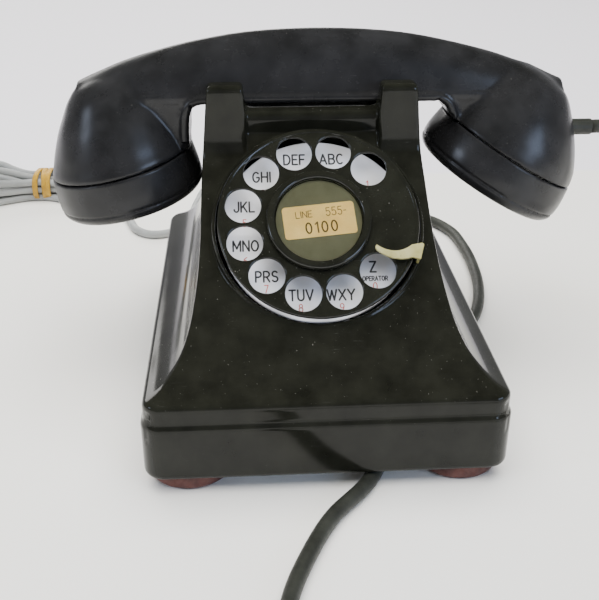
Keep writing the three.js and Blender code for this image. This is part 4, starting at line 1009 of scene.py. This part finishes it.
finishes = {
    phenolic_black: ["plunger_left", "plunger_right"],
    steel: ["base_plate", *(f"base_screw_{k}" for k in range(1, 5)), "dial_shaft", "dial_case", "pulse_ratchet",
            "governor_cup", "mainspring", "switch_lever", "switch_frame", "ringer_frame"],
    brass: ["main_gear", "pinion_gear", "governor_rotor", "clapper", "rivet_front_left", "rivet_front_right",
            "rivet_back_left", "rivet_back_right"],
    stop_metal: ["finger_stop"],
    bell_metal: ["gong_left", "gong_right"],
    winding_brown: ["ringer_coil_left", "ringer_coil_right", "induction_coil"],
    laminate: ["pulse_contacts", "switch_contacts", "terminal_strip"],
    zinc: ["condenser", "receiver_unit", "transmitter_unit"],
    rubber_black: ["handset_cord_sleeve", "handset_end_sleeve", "line_plug"],
    jacket_grey: ["line_cord_sleeve"],
}
edge_widths = {"finger_stop": 0.35, "line_plug": 0.9, "condenser": 0.8, "handset_end_sleeve": 0.5, "plunger_left": 0.2,
               "plunger_right": 0.2}
for material, names in finishes.items():
    for name in names:
        node = nodes[name]
        node.data.materials.clear()
        node.data.materials.append(material)
        soften(node, edge_widths.get(name, 0.15), 2)

# ---- Stage and light ----

TABLE_BACK = 0.245  # where the cream table meets a paler sheet behind it


def stage_sheet():
    """A cream table with a cooler white sheet behind it, in one plane."""
    vertices = [(x, y, 0) for y in (-3.0, 3.0) for x in (-3.0, 3.0)]
    mesh = bpy.data.meshes.new("table")
    mesh.from_pydata(vertices, [], [(0, 1, 3, 2)])
    sheet = bpy.data.objects.new("table", mesh)
    bpy.context.scene.collection.objects.link(sheet)
    material, tree, principled = shader("table_paint", (0.82, 0.80, 0.76), 0.5)
    coordinates = tree.nodes.new("ShaderNodeTexCoord")
    parts = tree.nodes.new("ShaderNodeSeparateXYZ")
    link(tree, coordinates.outputs["Object"], parts.inputs[0])
    cream = ramp(tree, noise(tree, 3, 3), [(0.3, (0.93, 0.91, 0.86)), (0.7, (0.95, 0.94, 0.91))])
    beyond = tree.nodes.new("ShaderNodeMapRange")
    beyond.inputs["From Min"].default_value = TABLE_BACK - 0.003
    beyond.inputs["From Max"].default_value = TABLE_BACK + 0.003
    link(tree, parts.outputs["Y"], beyond.inputs["Value"])
    link(tree, blend_colours(tree, beyond.outputs[0], cream, (0.90, 0.88, 0.94)), principled.inputs["Base Color"])
    mesh.materials.append(material)


stage_sheet()


def soft_light(name, position, target, size, power, colour):
    data = bpy.data.lights.new(name, "AREA")
    data.shape = "RECTANGLE"
    data.size, data.size_y = size
    data.energy = power
    data.color = colour
    light = bpy.data.objects.new(name, data)
    bpy.context.scene.collection.objects.link(light)
    light.location = position
    light.rotation_euler = (Vector(target) - Vector(position)).to_track_quat("-Z", "Y").to_euler()
    return light


soft_light("window_behind", (-0.6, 2.0, 1.0), (0, 0, 0.05), (1.8, 0.7), 22, (1.0, 0.98, 0.95))
soft_light("window_right", (1.0, -1.1, 0.62), (0, 0, 0.08), (0.7, 0.5), 9, (0.55, 0.70, 1.0))
soft_light("window_left", (-1.4, -0.5, 0.8), (0, 0, 0.08), (0.35, 0.45), 5, (0.70, 0.80, 1.0))
fill = soft_light("ceiling_bounce", (0.0, -0.1, 2.2), (0, 0, 0), (3.0, 3.0), 160, (1.0, 0.985, 0.955))
fill.visible_glossy = False


def surroundings():
    """A room that is bright low down behind the telephone and dim and brownish above and in front of it."""
    world = bpy.data.worlds.new("room")
    bpy.context.scene.world = world
    world.use_nodes = True
    tree = world.node_tree
    background = tree.nodes["Background"]
    coordinates = tree.nodes.new("ShaderNodeTexCoord")
    parts = tree.nodes.new("ShaderNodeSeparateXYZ")
    link(tree, coordinates.outputs["Generated"], parts.inputs[0])
    along = ramp(tree, calculate(tree, "MULTIPLY_ADD", parts.outputs["Y"], 0.5),
                 [(0.0, (0.36, 0.36, 0.38)), (0.4, (0.26, 0.26, 0.26)),
                  (0.8, (0.42, 0.42, 0.43)), (1.0, (0.6, 0.6, 0.62))])
    ceiling = ramp(tree, parts.outputs["Z"], [(0.3, 0.0), (0.7, 1.0)])
    shade = blend_colours(tree, ceiling, along, (0.12, 0.125, 0.085))
    link(tree, shade, background.inputs["Color"])
    background.inputs["Strength"].default_value = 1.0


surroundings()
